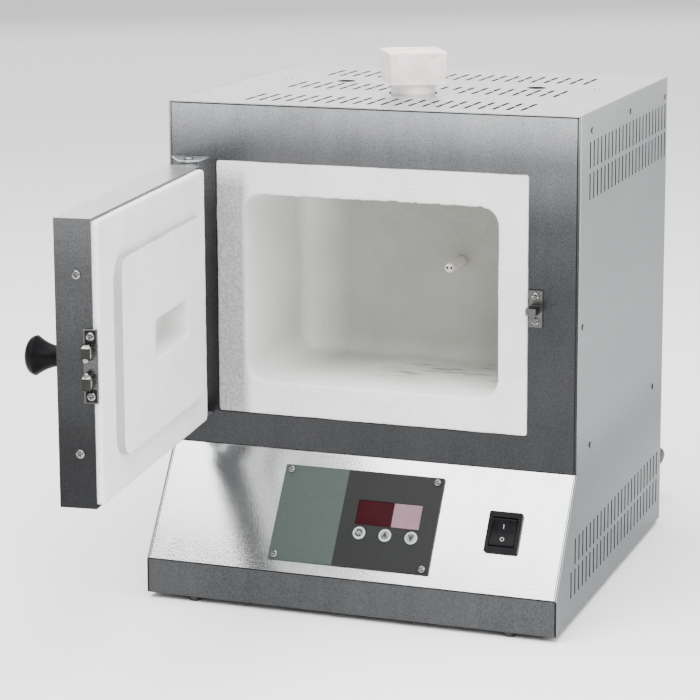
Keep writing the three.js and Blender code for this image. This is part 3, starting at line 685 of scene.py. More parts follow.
def along(points, steps):
    """A smooth line through the points: a centripetal Catmull-Rom curve, as steps points a stretch."""
    line = []
    for i in range(len(points) - 1):
        p1, p2 = points[i], points[i + 1]
        p0 = points[i - 1] if i else p1 * 2 - p2
        p3 = points[i + 2] if i + 2 < len(points) else p2 * 2 - p1
        knots = [0.0]
        for a, b in ((p0, p1), (p1, p2), (p2, p3)):
            knots.append(knots[-1] + max((b - a).length, 1e-6) ** 0.5)
        t0, t1, t2, t3 = knots
        for k in range(steps):
            t = t1 + (t2 - t1) * k / steps
            a1 = p0 * ((t1 - t) / (t1 - t0)) + p1 * ((t - t0) / (t1 - t0))
            a2 = p1 * ((t2 - t) / (t2 - t1)) + p2 * ((t - t1) / (t2 - t1))
            a3 = p2 * ((t3 - t) / (t3 - t2)) + p3 * ((t - t2) / (t3 - t2))
            b1 = a1 * ((t2 - t) / (t2 - t0)) + a2 * ((t - t0) / (t2 - t0))
            b2 = a2 * ((t3 - t) / (t3 - t1)) + a3 * ((t - t1) / (t3 - t1))
            line.append(b1 * ((t2 - t) / (t2 - t1)) + b2 * ((t - t1) / (t2 - t1)))
    line.append(points[-1].copy())
    return line


def eased(value):
    value = min(max(value, 0.0), 1.0)
    return value * value * (3 - 2 * value)


def coil_place(turn, radius):
    """(radius, height) of the coil after so many turns."""
    shift = 0.36  # share of a turn in which the cord moves over to its next place
    places = [
        (radius + TURN_PITCH, CORD_FLOOR),
        (radius, CORD_FLOOR),
        (radius - TURN_PITCH, CORD_FLOOR),
        (radius - TURN_PITCH / 2, CORD_FLOOR + TURN_PITCH * 0.87),
        (radius + TURN_PITCH / 2, CORD_FLOOR + TURN_PITCH * 0.87),
    ]
    index = min(int(turn), len(places) - 1)
    share = turn - index
    here = places[index]
    if index == len(places) - 1 or share < 1 - shift:
        return here
    following = places[index + 1]
    step = eased((share - (1 - shift)) / shift)
    return tuple(a + (b - a) * step for a, b in zip(here, following))


def mains_lead():
    """The whole cord on one line: out of the relief, down to the coil, round it, and on to the plug."""
    coil_low, coil_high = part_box("cord_coil")
    centre = (coil_low + coil_high) / 2
    centre.z = 0
    mean_radius = (coil_high.x - coil_low.x) / 2 - 3 * CORD_RADIUS
    lead, tail = (
        [Vector((x, FACE_Y + y, z)) for x, y, z in route] for route in (lead_route, tail_route)
    )
    relief_end = Vector((lead[0].x, high("strain_relief").y, lead[0].z))
    inside_relief = relief_end - Vector((0, 0.004, 0))
    inside_plug = tail[-1] - Vector((0.004, 0, 0))
    turns = coil_turns(centre, mean_radius, turns=5, start=0.25)
    line = along([inside_relief, *lead], 5)
    line += straight(line[-1], turns[0], 4)
    line += turns
    line += straight(turns[-1], tail[0], 4)
    line += along([*tail, inside_plug], 5)
    curve = bpy.data.curves.new("mains_lead", "CURVE")
    curve.dimensions = "3D"
    curve.bevel_depth = CORD_RADIUS
    curve.bevel_resolution = 5
    curve.use_fill_caps = True
    spline = curve.splines.new("POLY")
    spline.points.add(len(line) - 1)
    for point, place in zip(spline.points, line):
        point.co = (*place, 1)
    spline.use_smooth = True
    lead_piece = bpy.data.objects.new("mains_lead", curve)
    curve.materials.append(finishes["black_rubber"])
    collection.objects.link(lead_piece)
    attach(lead_piece, "case")
    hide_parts("power_cord", "power_cord_tail", "cord_coil")
    return lead_piece, relief_end


def straight(start, end, steps):
    """Points between two points, without either."""
    return [start.lerp(end, i / steps) for i in range(1, steps)]


def coil_turns(centre, radius, turns, start, steps=40):
    """The coil's line, from its outermost turn on the floor to the last turn on top.
    It starts after a share of a turn from +X, and goes anticlockwise seen from the top."""
    points = []
    for i in range(turns * steps + 1):
        reach, height = coil_place(i / steps, radius)
        angle = 2 * math.pi * (start + i / steps)
        points.append(centre + Vector((reach * math.cos(angle), reach * math.sin(angle), height)))
    return points


def strain_relief():
    """A ribbed sleeve that tapers along the cord, behind a collar on the back panel."""
    centre, back_y = middle("strain_relief"), high("back_panel").y
    length = (high("strain_relief").y - back_y) / MM
    profile = [(0, -12), (6, -12), (6, 0.4), (8.2, 0.4), (8.5, 0.8), (8.5, 2.6), (8.2, 3), (7.8, 3.6)]
    ribs, ribs_start = 9, 5
    pitch = (length - ribs_start - 1) / ribs
    for i in range(ribs):
        here = ribs_start + pitch * i
        outer = 7.7 - 1.3 * i / ribs
        profile += [(outer - 0.7, here), (outer, here + 0.25 * pitch)]
        profile += [(outer, here + 0.65 * pitch), (outer - 0.7, here + 0.9 * pitch)]
    profile += [(5.9, length - 0.5), (5.6, length), (0, length)]
    place = moved(centre.x, back_y, centre.z) @ TO_BACK
    return turned_piece("cord_sleeve", profile, place, "case", "black_rubber", ["strain_relief"])


def mains_plug():
    """The moulded plug: a waisted grip with a ribbed neck, on its side."""
    lo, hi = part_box("plug_body")
    length, width, height = (hi - lo) / MM
    place = moved(lo.x, (lo.y + hi.y) / 2, (lo.z + hi.z) / 2) @ OUTLINE_YZ

    def section(w, h, radius, along_x):
        return loop(0, 0, w, h, radius, 4, 3, 6), along_x

    grip = [  # distance along the plug, share of its width and height, corner radius
        (0, 0.95, 5.4), (0.4, 1.0, 5.8), (9, 1.0, 6), (12, 0.97, 6.5), (17, 0.90, 8), (23, 0.84, 8.5),
        (28, 0.86, 8.5), (30.5, 0.80, 8.2),
    ]
    sections = [
        section(width * share, height * share, min(radius, height * share / 2 - 0.1), along_x)
        for along_x, share, radius in grip
    ]
    ribs, neck_start = 5, 31.5
    pitch = (length - neck_start) / ribs
    for i in range(ribs):
        size = 17 - 4.0 * i / ribs
        for offset, change in ((0, -1.4), (0.2, 0), (0.7, 0), (0.9, -1.4)):
            d = size + change
            sections.append(section(d, d, d / 2 - 0.05, neck_start + (i + offset) * pitch))
    sections.append(section(10.4, 10.4, 5.1, length))
    return lofted_piece("plug_grip", sections, place, "case", "black_rubber", ["plug_body"])


def plug_pin():
    lo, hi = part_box("plug_ground_pin")
    radius, length = (hi.z - lo.z) / 2 / MM, (hi.x - lo.x) / MM
    profile = [(0, 0), (radius, 0), (radius, length - 2), (radius * 0.8, length - 0.6)]
    profile += [(radius * 0.4, length), (0, length)]
    place = moved(hi.x, (lo.y + hi.y) / 2, (lo.z + hi.z) / 2) @ TO_LEFT
    return turned_piece("ground_pin", profile, place, "case", "brass", ["plug_ground_pin"], 32)


lead_piece, cord_exit = mains_lead()
cord_pieces = [strain_relief(), mains_plug(), plug_pin(), "near_plug_blade", "far_plug_blade"]


# ---------------- softened edges on the CAD panels

SHEET_BEVEL = 0.00025
for name in (
    "left_side_panel", "right_side_panel", "top_panel", "back_panel", "front_frame", "base_pan",
    "control_panel", "heat_shield", "door_hinge_bracket", "top_hinge_ear", "bottom_hinge_ear",
    "strike_plate", "control_faceplate", "display_window",
):
    soften(nodes[name], SHEET_BEVEL)
soften(nodes["door_pan"], 0.0005, 3)
soften(nodes["power_switch_body"], 0.0004)
for name in ("near_plug_blade", "far_plug_blade"):
    soften(nodes[name], 0.0003)
for name in ("circuit_board", "transformer", "power_relay", "thermocouple_block"):
    soften(nodes[name], 0.0006)


# ---------------- small turned pieces

def feet():
    for name in ("front_left_foot", "front_right_foot", "rear_left_foot", "rear_right_foot"):
        lo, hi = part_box(name)
        radius, height = (hi.x - lo.x) / 2 / MM, (hi.z - lo.z) / MM
        rim = arch((radius - 0.6, 0), (radius, 0.8))
        profile = [(0, 0), (radius - 0.6, 0), *rim, (radius, height), (0, height)]
        place = moved((lo.x + hi.x) / 2, (lo.y + hi.y) / 2, lo.z)
        turned_piece(f"{name}_bumper", profile, place, "case", "black_rubber", [name], 32)


def screw(name, body, place, replaces=(), radius=2.9, length=7):
    """A pan-head screw with a cross recess. Its head sits on height 0 and points up."""
    shank = 1.6
    height = radius * 0.55
    dome = [(radius, 0)]
    for angle in (math.radians(v) for v in (8, 24, 40, 54, 66, 76, 84)):
        dome.append((radius * math.cos(angle), height * (0.35 + 0.65 * math.sin(angle))))
    profile = [(0, -length), (shank, -length), (shank, 0), *dome, (0, height)]
    mesh = bmesh.new()
    turned(mesh, profile, Matrix.Identity(4), 32)
    arm, half_width, depth = radius * 0.58, radius * 0.17, height * 0.75
    for vertex in mesh.verts:
        x, y, z = vertex.co / MM
        in_cross = min(abs(x), abs(y)) < half_width and max(abs(x), abs(y)) < arm
        if z > 0 and in_cross:
            vertex.co.z -= depth * (1 - 0.6 * max(abs(x), abs(y)) / arm) * MM
        vertex.co = place @ vertex.co
    return piece_from(name, mesh, body, "nickel_steel", replaces)


def visible_screws():
    length = 7
    for side_x, turn in (("left", 20), ("right", 55)):
        for side_y in ("upper", "lower"):
            name = f"{side_y}_{side_x}_plate_screw"
            lo, hi = local(name, SLOPE)
            head = moved((lo.x + hi.x) / 2, (lo.y + hi.y) / 2, lo.z + length * MM)
            place = SLOPE @ head @ spun(turn)
            screw(f"{side_y}_{side_x}_panel_screw", "case", place, [name], length=length)
    length = 8
    for side in ("upper", "lower"):
        name = f"{side}_strike_screw"
        centre = middle(name)
        head = moved(centre.x, high(name).y - length * MM, centre.z) @ TO_FRONT
        screw(f"{side}_strike_plate_screw", "case", head, [name], length=length)


def hinge_pins():
    shank = 9
    profile = [(0, -shank), (2.2, -shank), (2.5, 0.4 - shank), (2.5, 0.3), (3.9, 0.3), (4, 0.6), (4, 1.1)]
    profile += [(3.6, 1.6), (2.4, 1.95), (0, 2)]
    for side in ("top", "bottom"):
        name = f"{side}_hinge_pin"
        centre = middle(name)
        if side == "top":
            place = moved(centre.x, centre.y, low(name).z + shank * MM)
        else:
            place = moved(centre.x, centre.y, high(name).z - shank * MM) @ FLIP
        turned_piece(f"{side}_hinge_rivet", profile, place, "case", "nickel_steel", [name], 32)


def roof_rivets():
    """Two blind rivets in the roof, each a low dome with a hole in it."""
    profile = [(0, -1.5), (1.6, -1.5), (1.6, 0), (3, 0), (2.9, 0.4), (2.2, 0.9), (1.1, 1.05), (0.9, 0.4)]
    profile += [(0, 0.35)]
    for side, x in (("left", -135), ("right", 135)):
        place = Matrix.Translation(at(x, 173, CASE_TOP / MM + 0.05))
        turned_piece(f"{side}_roof_rivet", profile, place, "case", "galvanised_steel", segments=32)


def thermocouple():
    """The two-bore ceramic tube that stands out of the chamber's back wall, with its two wires."""
    lo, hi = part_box("thermocouple_tube")
    radius, length = (hi.x - lo.x) / 2 / MM, (hi.y - lo.y) / MM
    bore, bore_depth, wire, half_pitch = 1.1, 15, 0.9, 1.7
    profile = [(0, 0), (radius - 0.4, 0), (radius, 0.5), (radius, length), (0, length)]
    end = moved((lo.x + hi.x) / 2, lo.y, (lo.z + hi.z) / 2)
    tube = turned_piece("thermocouple", profile, end @ TO_BACK, "case", "ceramic", ["thermocouple_tube"])
    for side, x in (("left", -half_pitch), ("right", half_pitch)):
        hole = bmesh.new()
        place = end @ moved(x * MM, 0, 0) @ TO_BACK
        turned(hole, [(0, -5), (bore, -5), (bore, bore_depth), (0, bore_depth)], place, 24)
        bored(tube, hole)
        profile = [(0, 0.35), (wire, 0.35), (wire, bore_depth - 1), (0, bore_depth - 1)]
        name = f"{side}_thermocouple_wire"
        # painted shade: the wires take the near-black finish, so that the bores read as dark holes
        turned_piece(name, profile, place, "case", "element_alloy", segments=24, looks=[dark_joint_and_shade])


feet()
visible_screws()
hinge_pins()
roof_rivets()
thermocouple()


# ---------------- firing chamber

MOUTH_X, MOUTH_Z = -0.7, 245.3
MOUTH_WIDTH, MOUTH_HEIGHT, MOUTH_RADIUS = 209.5, 150.5, 16
MOUTH_TOP = MOUTH_Z + MOUTH_HEIGHT / 2
CHAMBER_DEPTH, CHAMBER_COVE = 133, 14


def fray_mouth(muffle):
    """Nibbles at the mouth's top rim between its corners, where ware has brushed it."""
    for vertex in muffle.data.vertices:
        x, behind_face, z = (vertex.co - Vector((0, FACE_Y, 0))) / MM
        if behind_face < 2.6 and abs(z - MOUTH_TOP) < 1.2 and abs(x) < 95:
            vertex.co.z += (noise.fractal(vertex.co / 0.006, 0.7, 2.0, 4) - 0.25) * 0.9 * MM


def firing_chamber():
    """The moulded muffle: its flat face, the mouth with a frayed rim, and the chamber with a coved back."""
    lo, hi = (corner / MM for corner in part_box("firing_chamber"))
    width, height = hi.x - lo.x, hi.z - lo.z
    back = hi.y - FACE_Y / MM
    steps = {"across": 84, "up": 60, "arc": 10}

    def outside(inset):
        return inset_loop(inset, (lo.x + hi.x) / 2, (lo.z + hi.z) / 2, width, height, 2.5, 0.6, **steps)

    def inside(inset):
        return inset_loop(inset, MOUTH_X, MOUTH_Z, MOUTH_WIDTH, MOUTH_HEIGHT, MOUTH_RADIUS, 2, **steps)

    face = 0.4  # the stipple stays behind the frame's front
    sections = [(outside(0), back), (outside(0), 1.4), (outside(0.3), 0.7), (outside(0.9), face)]
    sections += between(sections[-1], (inside(-1.4), face), 12)
    sections += [(inside(-0.7), 0.55), (inside(-0.25), 0.9), (inside(0), 1.6)]
    cove_start = CHAMBER_DEPTH - CHAMBER_COVE
    sections += between(sections[-1], (inside(0), cove_start), 44)
    cove_steps = 7
    for i in range(1, cove_steps + 1):
        angle = math.pi / 2 * i / cove_steps
        inset = CHAMBER_COVE * (1 - math.cos(angle))
        sections.append((inside(inset), cove_start + CHAMBER_COVE * math.sin(angle)))
    sections += between(sections[-1], (inside(MOUTH_HEIGHT / 2 - 2.5), CHAMBER_DEPTH), 18)
    muffle = lofted_piece(
        "muffle", sections, UPRIGHT, "case", "ceramic_fibre", ["firing_chamber"], [chamber_fibre_stains_and_shade],
    )
    roughen(muffle, 0.00016, 0.004)
    roughen(muffle, 0.0003, 0.03)
    fray_mouth(muffle)

    def hole(radius, start, end, place, segments):
        cutter = bmesh.new()
        turned(cutter, [(0, start), (radius, start), (radius, end), (0, end)], place, segments)
        return cutter

    plug, probe = middle("vent_plug"), middle("thermocouple_tube")
    over_plug = moved(plug.x, plug.y, 0)
    behind_probe = moved(probe.x, FACE_Y, probe.z) @ TO_BACK
    bored(
        muffle,
        hole(20, MOUTH_Z, hi.z + height / 2, over_plug, 64),
        hole(4.4, CHAMBER_DEPTH - 4, back + 5, behind_probe, 32),
    )


def seams():
    """The dark joints where the front, the roof, the sides and the sloping panel meet."""
    half = high("front_frame").x / MM
    top, knee = CASE_TOP / MM, KNEE_Z / MM
    sunk, proud = 0.02, 0.06
    strips = {
        "roof_seam": (UPRIGHT, (-half + 0.8, half - 0.8, top - 1.9, top - 0.9, -proud, sunk)),
        "left_frame_seam": (UPRIGHT, (-half + 0.6, -half + 1.1, knee + 1, top - 1, -proud, sunk)),
        "right_frame_seam": (UPRIGHT, (half - 2.0, half - 1.0, knee + 1, top - 1, -proud, sunk)),
    }
    slope_low, slope_high = local_mm("control_panel", SLOPE)
    for name, x in (("left_slope_seam", -half + 0.7), ("right_slope_seam", half - 1.3)):
        strips[name] = (SLOPE, (x, x + 0.6, slope_low.y + 1.5, slope_high.y - 0.5, -sunk, proud))
    for name, (place, edges) in strips.items():
        mesh = bmesh.new()
        bar(mesh, *edges, place)
        piece_from(name, mesh, "case", "dark_steel", looks=[dark_joint_and_shade])


firing_chamber()
seams()


# ---------------- vent plug

def vent_plug():
    """A sawn firebrick block, a little wider at the top, on its round neck."""
    lo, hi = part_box("vent_plug")
    centre = moved((lo.x + hi.x) / 2, (lo.y + hi.y) / 2, 0)
    top = hi.z / MM - 0.35  # the chalky surface stays under the CAD block's top
    bottom = top - 26.15
    head_top, head_bottom, neck_radius = 47.5, 44.5, 17.9
    steps = {"across": 24, "up": 24, "arc": 4}

    def square(size, radius=1.6):
        return loop(0, 0, size, size, radius, **steps)

    sections = [(square(head_bottom * 0.02, 0.1), bottom)]
    sections += between(sections[-1], (square(head_bottom - 1.2), bottom), 6)
    sections += [(square(head_bottom - 0.3), bottom + 0.4)]
    sections += between(sections[-1], (square(head_top - 0.2), top - 1.2), 14)
    sections += [(square(head_top - 0.8), top - 0.3), (square(head_top - 2.2), top)]
    sections += between(sections[-1], (square(head_top * 0.02, 0.1), top), 12)
    turn = spun(29.5)
    head = lofted_piece("vent_plug_head", sections, centre @ turn, "vent_plug", "firebrick", ["vent_plug"])
    roughen(head, 0.0003, 0.006)
    foot = lo.z / MM
    rings = 24
    profile = [(0, foot), (neck_radius - 0.7, foot)]
    profile += [(neck_radius, foot + 0.8 + (bottom - foot) * i / rings) for i in range(rings + 1)]
    profile += [(0, bottom + 0.8)]
    neck = turned_piece("vent_plug_neck", profile, centre, "vent_plug", "firebrick", segments=72)
    roughen(neck, 0.0002, 0.005)


vent_plug()


# ---------------- door

PLATEAU_X, PLATEAU_Z = 122, 241.85  # x from the door's hinge edge
PLATEAU_WIDTH, PLATEAU_HEIGHT, PLATEAU_PROUD = 193, 141.9, 5
RECESS_X, RECESS_Z, RECESS_WIDTH, RECESS_HEIGHT, RECESS_DEPTH = 105.5, 240, 79, 29, 18


def door_liner():
    """The fibre block in the door: a proud face, the plateau that enters the mouth, and the sight recess."""
    lo, hi = local_mm("door_liner", DOOR)
    hinge_edge = local_mm("door_pan", DOOR)[0].x
    plateau_x = hinge_edge + PLATEAU_X
    top = hi.y
    face = top - PLATEAU_PROUD - 0.35  # room for the stipple when the door is shut
    steps = {"across": 80, "up": 60, "arc": 10}

    def slab(inset):
        middle_x, middle_z = (lo.x + hi.x) / 2, (lo.z + hi.z) / 2
        return inset_loop(inset, middle_x, middle_z, hi.x - lo.x, hi.z - lo.z, 4, 1, **steps)

    def plateau(inset):
        tall = PLATEAU_HEIGHT - 2 * max(inset, -0.3)  # its foot spreads sideways only, to clear the mouth
        return loop(plateau_x, PLATEAU_Z, PLATEAU_WIDTH - 2 * inset, tall, max(12 - inset, 2), **steps)

    def recess(inset):
        x = hinge_edge + RECESS_X
        return inset_loop(inset, x, RECESS_Z, RECESS_WIDTH, RECESS_HEIGHT, 4, 0.8, **steps)

    bed = face - RECESS_DEPTH
    sections = [(slab(0), lo.y), (slab(0), face - 1.6), (slab(0.3), face - 0.5), (slab(0.9), face)]
    sections += between(sections[-1], (plateau(-4.2), face), 9)
    sections += [(plateau(-3.7), face + 0.15), (plateau(-2.6), face + 1.6), (plateau(-1.3), face + 3.3)]
    sections += [(plateau(0), top - 0.5), (plateau(0.3), top - 0.15), (plateau(0.9), top)]
    sections += between(sections[-1], (recess(-1.2), top), 22)
    sections += [(recess(-0.4), top - 0.3), (recess(0), top - 1.2)]
    sections += between(sections[-1], (recess(0.6), bed + 1.2), 9)
    sections += [(recess(1.4), bed + 0.3), (recess(2.6), bed)]
    sections += between(sections[-1], (recess(13.5), bed), 6)
    looks = [finishes["ceramic_fibre"], fibre_painted_shade, fibre_painted_light]
    liner = lofted_piece(
        "door_block", sections, DOOR_UPRIGHT, "door", "ceramic_fibre", ["door_liner"], looks,
    )
    to_door = DOOR.inverted()
    for polygon in liner.data.polygons:
        x, height, z = (to_door @ polygon.center) / MM
        facing = to_door.to_3x3() @ polygon.normal
        # painted light: the slab's end at the latch side takes the brighter fibre
        if facing.x > 0.7 and x > hi.x - 1:
            polygon.material_index = 2
        # painted shade: the plateau's side walls take the darker fibre
        on_wall = abs(facing.y) < 0.9 and face + 0.1 < height < top - 0.1
        if on_wall and (abs(x - plateau_x) > 93 or abs(z - PLATEAU_Z) > 68):
            polygon.material_index = 1
    roughen(liner, 0.00015, 0.004)
    roughen(liner, 0.00022, 0.03)


def door_knob():
    """A black trumpet-shaped knob with a domed face."""
    lo, hi = local("door_knob", DOOR)
    pan_face = local("door_pan", DOOR)[0].y
    profile = [(0, 14), (2.3, 14), (2.3, 0.3), (7.8, 0.3), (8.2, 0.8), (8.0, 1.8), (7.2, 3.2)]
    flare_steps, dome_steps = 14, 12
    for share in (i / flare_steps for i in range(flare_steps + 1)):
        profile.append((6.9 + 7.2 * share ** 1.9, 4.5 + 18.9 * share))
    profile += [(14.2, 23.7), (14.0, 24.1)]
    for angle in (math.pi / 2 * i / dome_steps for i in range(1, dome_steps)):
        profile.append((13.9 * math.cos(angle), 24.2 + 7.1 * math.sin(angle)))
    profile.append((0, 24.2 + 7.1))
    place = DOOR @ moved((lo.x + hi.x) / 2, pan_face, (lo.z + hi.z) / 2) @ TO_FRONT
    turned_piece("knob", profile, place, "door", "black_plastic", ["door_knob"], 64)


def door_edge_screws():
    """The two screws that hold the liner, in the latch edge of the pan."""
    lo, hi = local_mm("door_pan", DOOR)
    from_end, from_rim = 39, 11
    for side, z in (("upper", hi.z - from_end), ("lower", lo.z + from_end)):
        place = DOOR @ Matrix.Translation(Vector((hi.x, hi.y - from_rim, z)) * MM) @ TO_RIGHT @ spun(30)
        screw(f"{side}_liner_screw", "door", place, radius=3.3, length=2)


def catch_barrel(side, outline, seat, start, end):
    """One barrel of the catch, from z = start to end, with ends that shrink towards the plate."""
    seat_x, seat_y = seat

    def shrunk(share):
        return [(y * share + seat_y * (1 - share), x * share + seat_x * (1 - share)) for y, x in outline]

    sections = [
        (shrunk(0.55), start), (shrunk(0.68), start + 0.4), (outline, start + 2.3),
        (outline, end - 2.3), (shrunk(0.68), end - 0.4), (shrunk(0.55), end),
    ]
    looks = [dark_bronze, finishes["nickel_steel"]]
    barrel = lofted_piece(
        f"{side}_catch_barrel", sections, DOOR @ OUTLINE_YX, "door", "nickel_steel", looks=looks,
    )
    to_door = DOOR.to_3x3().inverted()
    for polygon in barrel.data.polygons:
        facing = to_door @ polygon.normal
        if facing.z > 0.2 or facing.y > 0.8:
            polygon.material_index = 1


def ball_catch():
    """The double ball catch: a plate with two screws, each in a dark patch of painted shade for its dished recess,
    and two barrels that face each other.
    """
    lo, hi = local_mm("catch_housing", DOOR)
    pan_hi = local_mm("door_pan", DOOR)[1]
    plate_in, plate_out = pan_hi.x + 0.3, pan_hi.x + 1.3
    width, tall = 10.5, hi.z - lo.z
    y_mid, z_mid = pan_hi.y - 7 + width / 2, (lo.z + hi.z) / 2
    barrel_x, barrel_y = hi.x - 3.8, pan_hi.y - 3.3
    sideways = DOOR @ OUTLINE_YZ
    edge = loop(y_mid, z_mid, width, tall, 0.8, arc=3)
    rim = loop(y_mid, z_mid, width - 0.4, tall - 0.4, 0.6, arc=3)
    plate = [(edge, plate_in), (edge, plate_out - 0.2), (rim, plate_out)]
    lofted_piece("catch_plate", plate, sideways, "door", "nickel_steel", ["catch_housing"], [worn_nickel])

    barrel_mid = (barrel_x + plate_out) / 2 + 0.6
    barrel_reach = barrel_x + 3.8 - plate_out
    outline = [(y, x + barrel_mid) for y, x in loop(barrel_y, 0, 8.2, barrel_reach, 2.4)]
    tip, ball = 3.0, 2.2
    nose = [(0, tip)]
    for angle in (math.pi / 12 * i for i in range(1, 7)):
        nose.append((ball * math.sin(angle), tip + ball * (1 - math.cos(angle))))
    nose += [(ball, 11), (0, 11)]
    for side, sign in (("upper", 1), ("lower", -1)):
        ends = sorted((z_mid + sign * 4.8, z_mid + sign * 16.4))
        catch_barrel(side, outline, (plate_out + 1, barrel_y), *ends)
        place = DOOR @ Matrix.Translation(Vector((barrel_x, barrel_y, z_mid)) * MM)
        if sign < 0:
            place = place @ FLIP
        body = f"{side}_catch_ball"
        turned_piece(f"{side}_ball", nose, place, body, "nickel_steel", [body], 32)
        spot = Vector((plate_out, y_mid + 0.3, z_mid + sign * 21))
        place = DOOR @ Matrix.Translation(spot * MM) @ TO_RIGHT
        screw(f"{side}_catch_screw", "door", place, radius=3.1, length=0.8)
        # painted shade: a thin dark patch round each screw stands for the shade in the plate's dish
        dish = loop(y_mid + 0.2, z_mid + sign * 20.6, width - 2.4, 9.4, 0.8, arc=3)
        sections = [(dish, plate_out - 0.4), (dish, plate_out + 0.1)]
        name = f"{side}_screw_recess_shade"
        lofted_piece(name, sections, sideways, "door", "nickel_steel", looks=[dark_joint_and_shade])


door_liner()
door_knob()
door_edge_screws()
ball_catch()


# ---------------- controls

def prism(mesh, outline, z0, z1, place):
    loft(mesh, [(outline, z0), (outline, z1)], place)


def turning_arrow(mesh, place, start, z0, z1):
    """One of the cycle key's two arrows: a stretch of a ring and its head, anticlockwise from start."""
    inner, outer = 1.7, 3.0
    end = start + math.radians(118)
    tip = end + math.radians(38)
    steps = 10
    rim = [start + (end - start) * i / steps for i in range(steps + 1)]
    outline = [(outer * math.cos(a), outer * math.sin(a)) for a in rim]
    outline += [(inner * math.cos(a), inner * math.sin(a)) for a in reversed(rim)]
    prism(mesh, outline, z0, z1, place)
    corners = ((outer + 0.8, end), ((inner + outer) / 2, tip), (inner - 0.8, end))
    prism(mesh, [(r * math.cos(a), r * math.sin(a)) for r, a in corners], z0, z1, place)


def straight_arrow(mesh, place, way, z0, z1):
    """An arrow that points up, or down where way is -1."""
    outline = [
        (0, 3.2), (-2.6, -2.2), (-1.5, -2.6), (-0.5, -0.4), (-0.45, -3), (0.45, -3), (0.5, -0.4),
        (1.5, -2.6), (2.6, -2.2),
    ]
    if way < 0:
        outline = [(x, -y) for x, y in reversed(outline)]
    prism(mesh, outline, z0, z1, place)


def control_keys():
    """Three round keys, each with a raised printed sign: a pair of turning arrows, an up and a down arrow."""
    for name in ("cycle_key", "up_key", "down_key"):
        lo, hi = local_mm(name, SLOPE)
        top, radius = hi.z, (hi.x - lo.x) / 2
        place = SLOPE @ moved((lo.x + hi.x) / 2 * MM, (lo.y + hi.y) / 2 * MM, 0)
        profile = [(0, -3), (2, -3), (2, 0), (radius, 0), (radius, top - 0.5)]
        profile += [*arch((radius, top - 0.5), (radius - 0.6, top - 0.02)), (0, top)]
        turned_piece(f"{name}_cap", profile, place, name, "faceplate_print", [name], looks=[key_print])
        face = radius - 1.2
        profile = [(0, top - 0.1), (face, top - 0.1), (face, top + 0.02), (0, top + 0.02)]
        turned_piece(f"{name}_face", profile, place, name, "faceplate_print", looks=[key_grey])
        mesh = bmesh.new()
        base, ink_top = top - 0.05, top + 0.06
        if name == "cycle_key":
            turning_arrow(mesh, place, 0, base, ink_top)
            turning_arrow(mesh, place, math.pi, base, ink_top)
        else:
            straight_arrow(mesh, place, 1 if name == "up_key" else -1, base, ink_top)
        piece_from(f"{name}_sign", mesh, name, "faceplate_print", looks=[ink_dark])


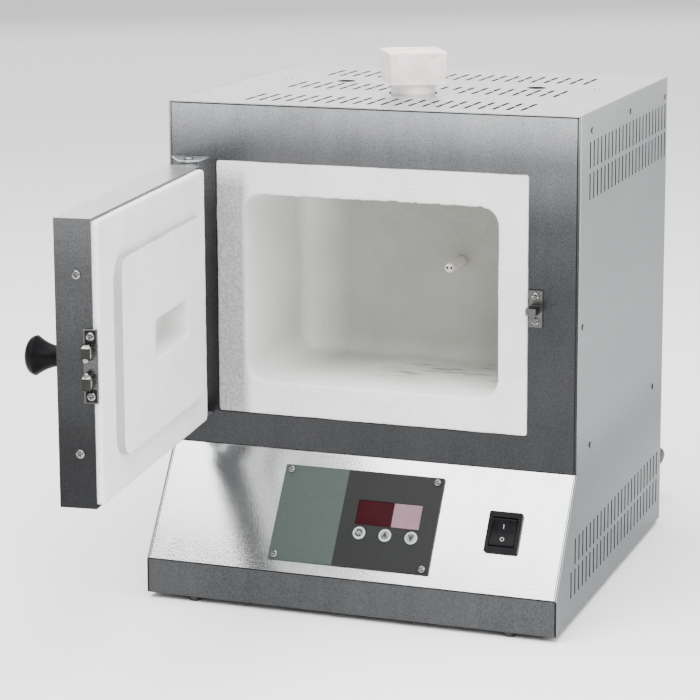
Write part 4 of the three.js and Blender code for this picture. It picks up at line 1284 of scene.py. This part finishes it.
def rocker():
    """The switch's rocker, dished to its pivot line, with its two moulded signs."""
    lo, hi = local("power_switch_rocker", SLOPE)
    body_lo, body_hi = local("power_switch_body", SLOPE)
    centre = moved((lo.x + hi.x) / 2, (body_lo.y + body_hi.y) / 2, 0)
    place = SLOPE @ centre @ Matrix.Rotation(math.radians(7), 4, "X")
    half_x, half_y = (hi.x - lo.x) / 2 / MM, 10.8
    pivot_height, dish, power = 2.6, 1.3, 1.3

    def height(y):
        return pivot_height + dish * (abs(y) / half_y) ** power

    steps, rounded_from = 24, 0.93
    top = []
    for i in range(steps + 1):
        y = -half_y + 2 * half_y * i / steps
        edge = 0.5 * max(0.0, (abs(y) / half_y - rounded_from) / (1 - rounded_from)) ** 2
        top.append((y, height(y) - edge))
    outline = [*top, (half_y, -2), (0, -6.5), (-half_y, -2)]
    cap = lofted_piece(
        "rocker_cap", [(outline, -half_x), (outline, half_x)], place @ OUTLINE_YZ,
        "power_switch_rocker", "black_plastic", ["power_switch_rocker"],
    )
    soften(cap, 0.0004, 3)

    def spot(y):
        lean = math.atan2(dish * power * (abs(y) / half_y) ** (power - 1) / half_y, 1)
        tilt = Matrix.Rotation(math.copysign(lean, y), 4, "X")
        return place @ moved(0, y * MM, height(y) * MM) @ tilt

    sunk, proud = -0.15, 0.05
    mesh = bmesh.new()
    prism(mesh, [(-0.24, -1.6), (0.24, -1.6), (0.24, 1.6), (-0.24, 1.6)], sunk, proud, spot(4.6))
    turned(mesh, [(1.15, sunk), (1.6, sunk), (1.6, proud), (1.15, proud), (1.15, sunk)], spot(-5.2), 32)
    piece_from("rocker_signs", mesh, "power_switch_rocker", "black_plastic", looks=[ink_white])


control_keys()
rocker()


# ---------------- floor and light

FLOOR_REACH = 6
WORLD_STRENGTH = 0.95
LIGHTS = [  # name, place, target, size and power in watts
    ("overhead", (-0.1, -0.45, 2.3), (0, -0.1, 0.2), (2.6, 3.0), 190),
    ("right", (2.4, -0.2, 1.3), (0, 0, 0.2), (1.2, 1.2), 30),
    ("backdrop", (-1.8, 4.5, 1.6), (0, 1.5, 0), (5, 2), 45),
    ("key", (1.3, -2.2, 1.9), (0, 0, 0.25), (0.7, 0.7), 34),
]


def floor():
    mesh = bmesh.new()
    reach = FLOOR_REACH
    bar(mesh, -reach, reach, -reach, reach, -0.02, 0, Matrix.Identity(4), 1)
    data = bpy.data.meshes.new("floor")
    mesh.to_mesh(data)
    mesh.free()
    ground = bpy.data.objects.new("floor", data)
    recipe = Recipe("floor", Roughness=0.9)
    recipe.colour(recipe.mixed(recipe.grain(0.5, 2), grey(0.90), grey(0.93)))
    data.materials.append(recipe.material)
    collection.objects.link(ground)


def area_light(name, place, target, size, power):
    data = bpy.data.lights.new(name, "AREA")
    data.shape = "RECTANGLE"
    data.size, data.size_y = size
    data.energy = power
    lamp = bpy.data.objects.new(name, data)
    lamp.location = place
    lamp.rotation_mode = "QUATERNION"
    lamp.rotation_quaternion = (Vector(target) - Vector(place)).to_track_quat("-Z", "Y")
    collection.objects.link(lamp)


def studio():
    world = bpy.data.worlds.new("studio")
    world.use_nodes = True
    background = world.node_tree.nodes["Background"]
    background.inputs["Color"].default_value = (1, 1, 1, 1)
    background.inputs["Strength"].default_value = WORLD_STRENGTH
    bpy.context.scene.world = world
    for light in LIGHTS:
        area_light(*light)


floor()
studio()
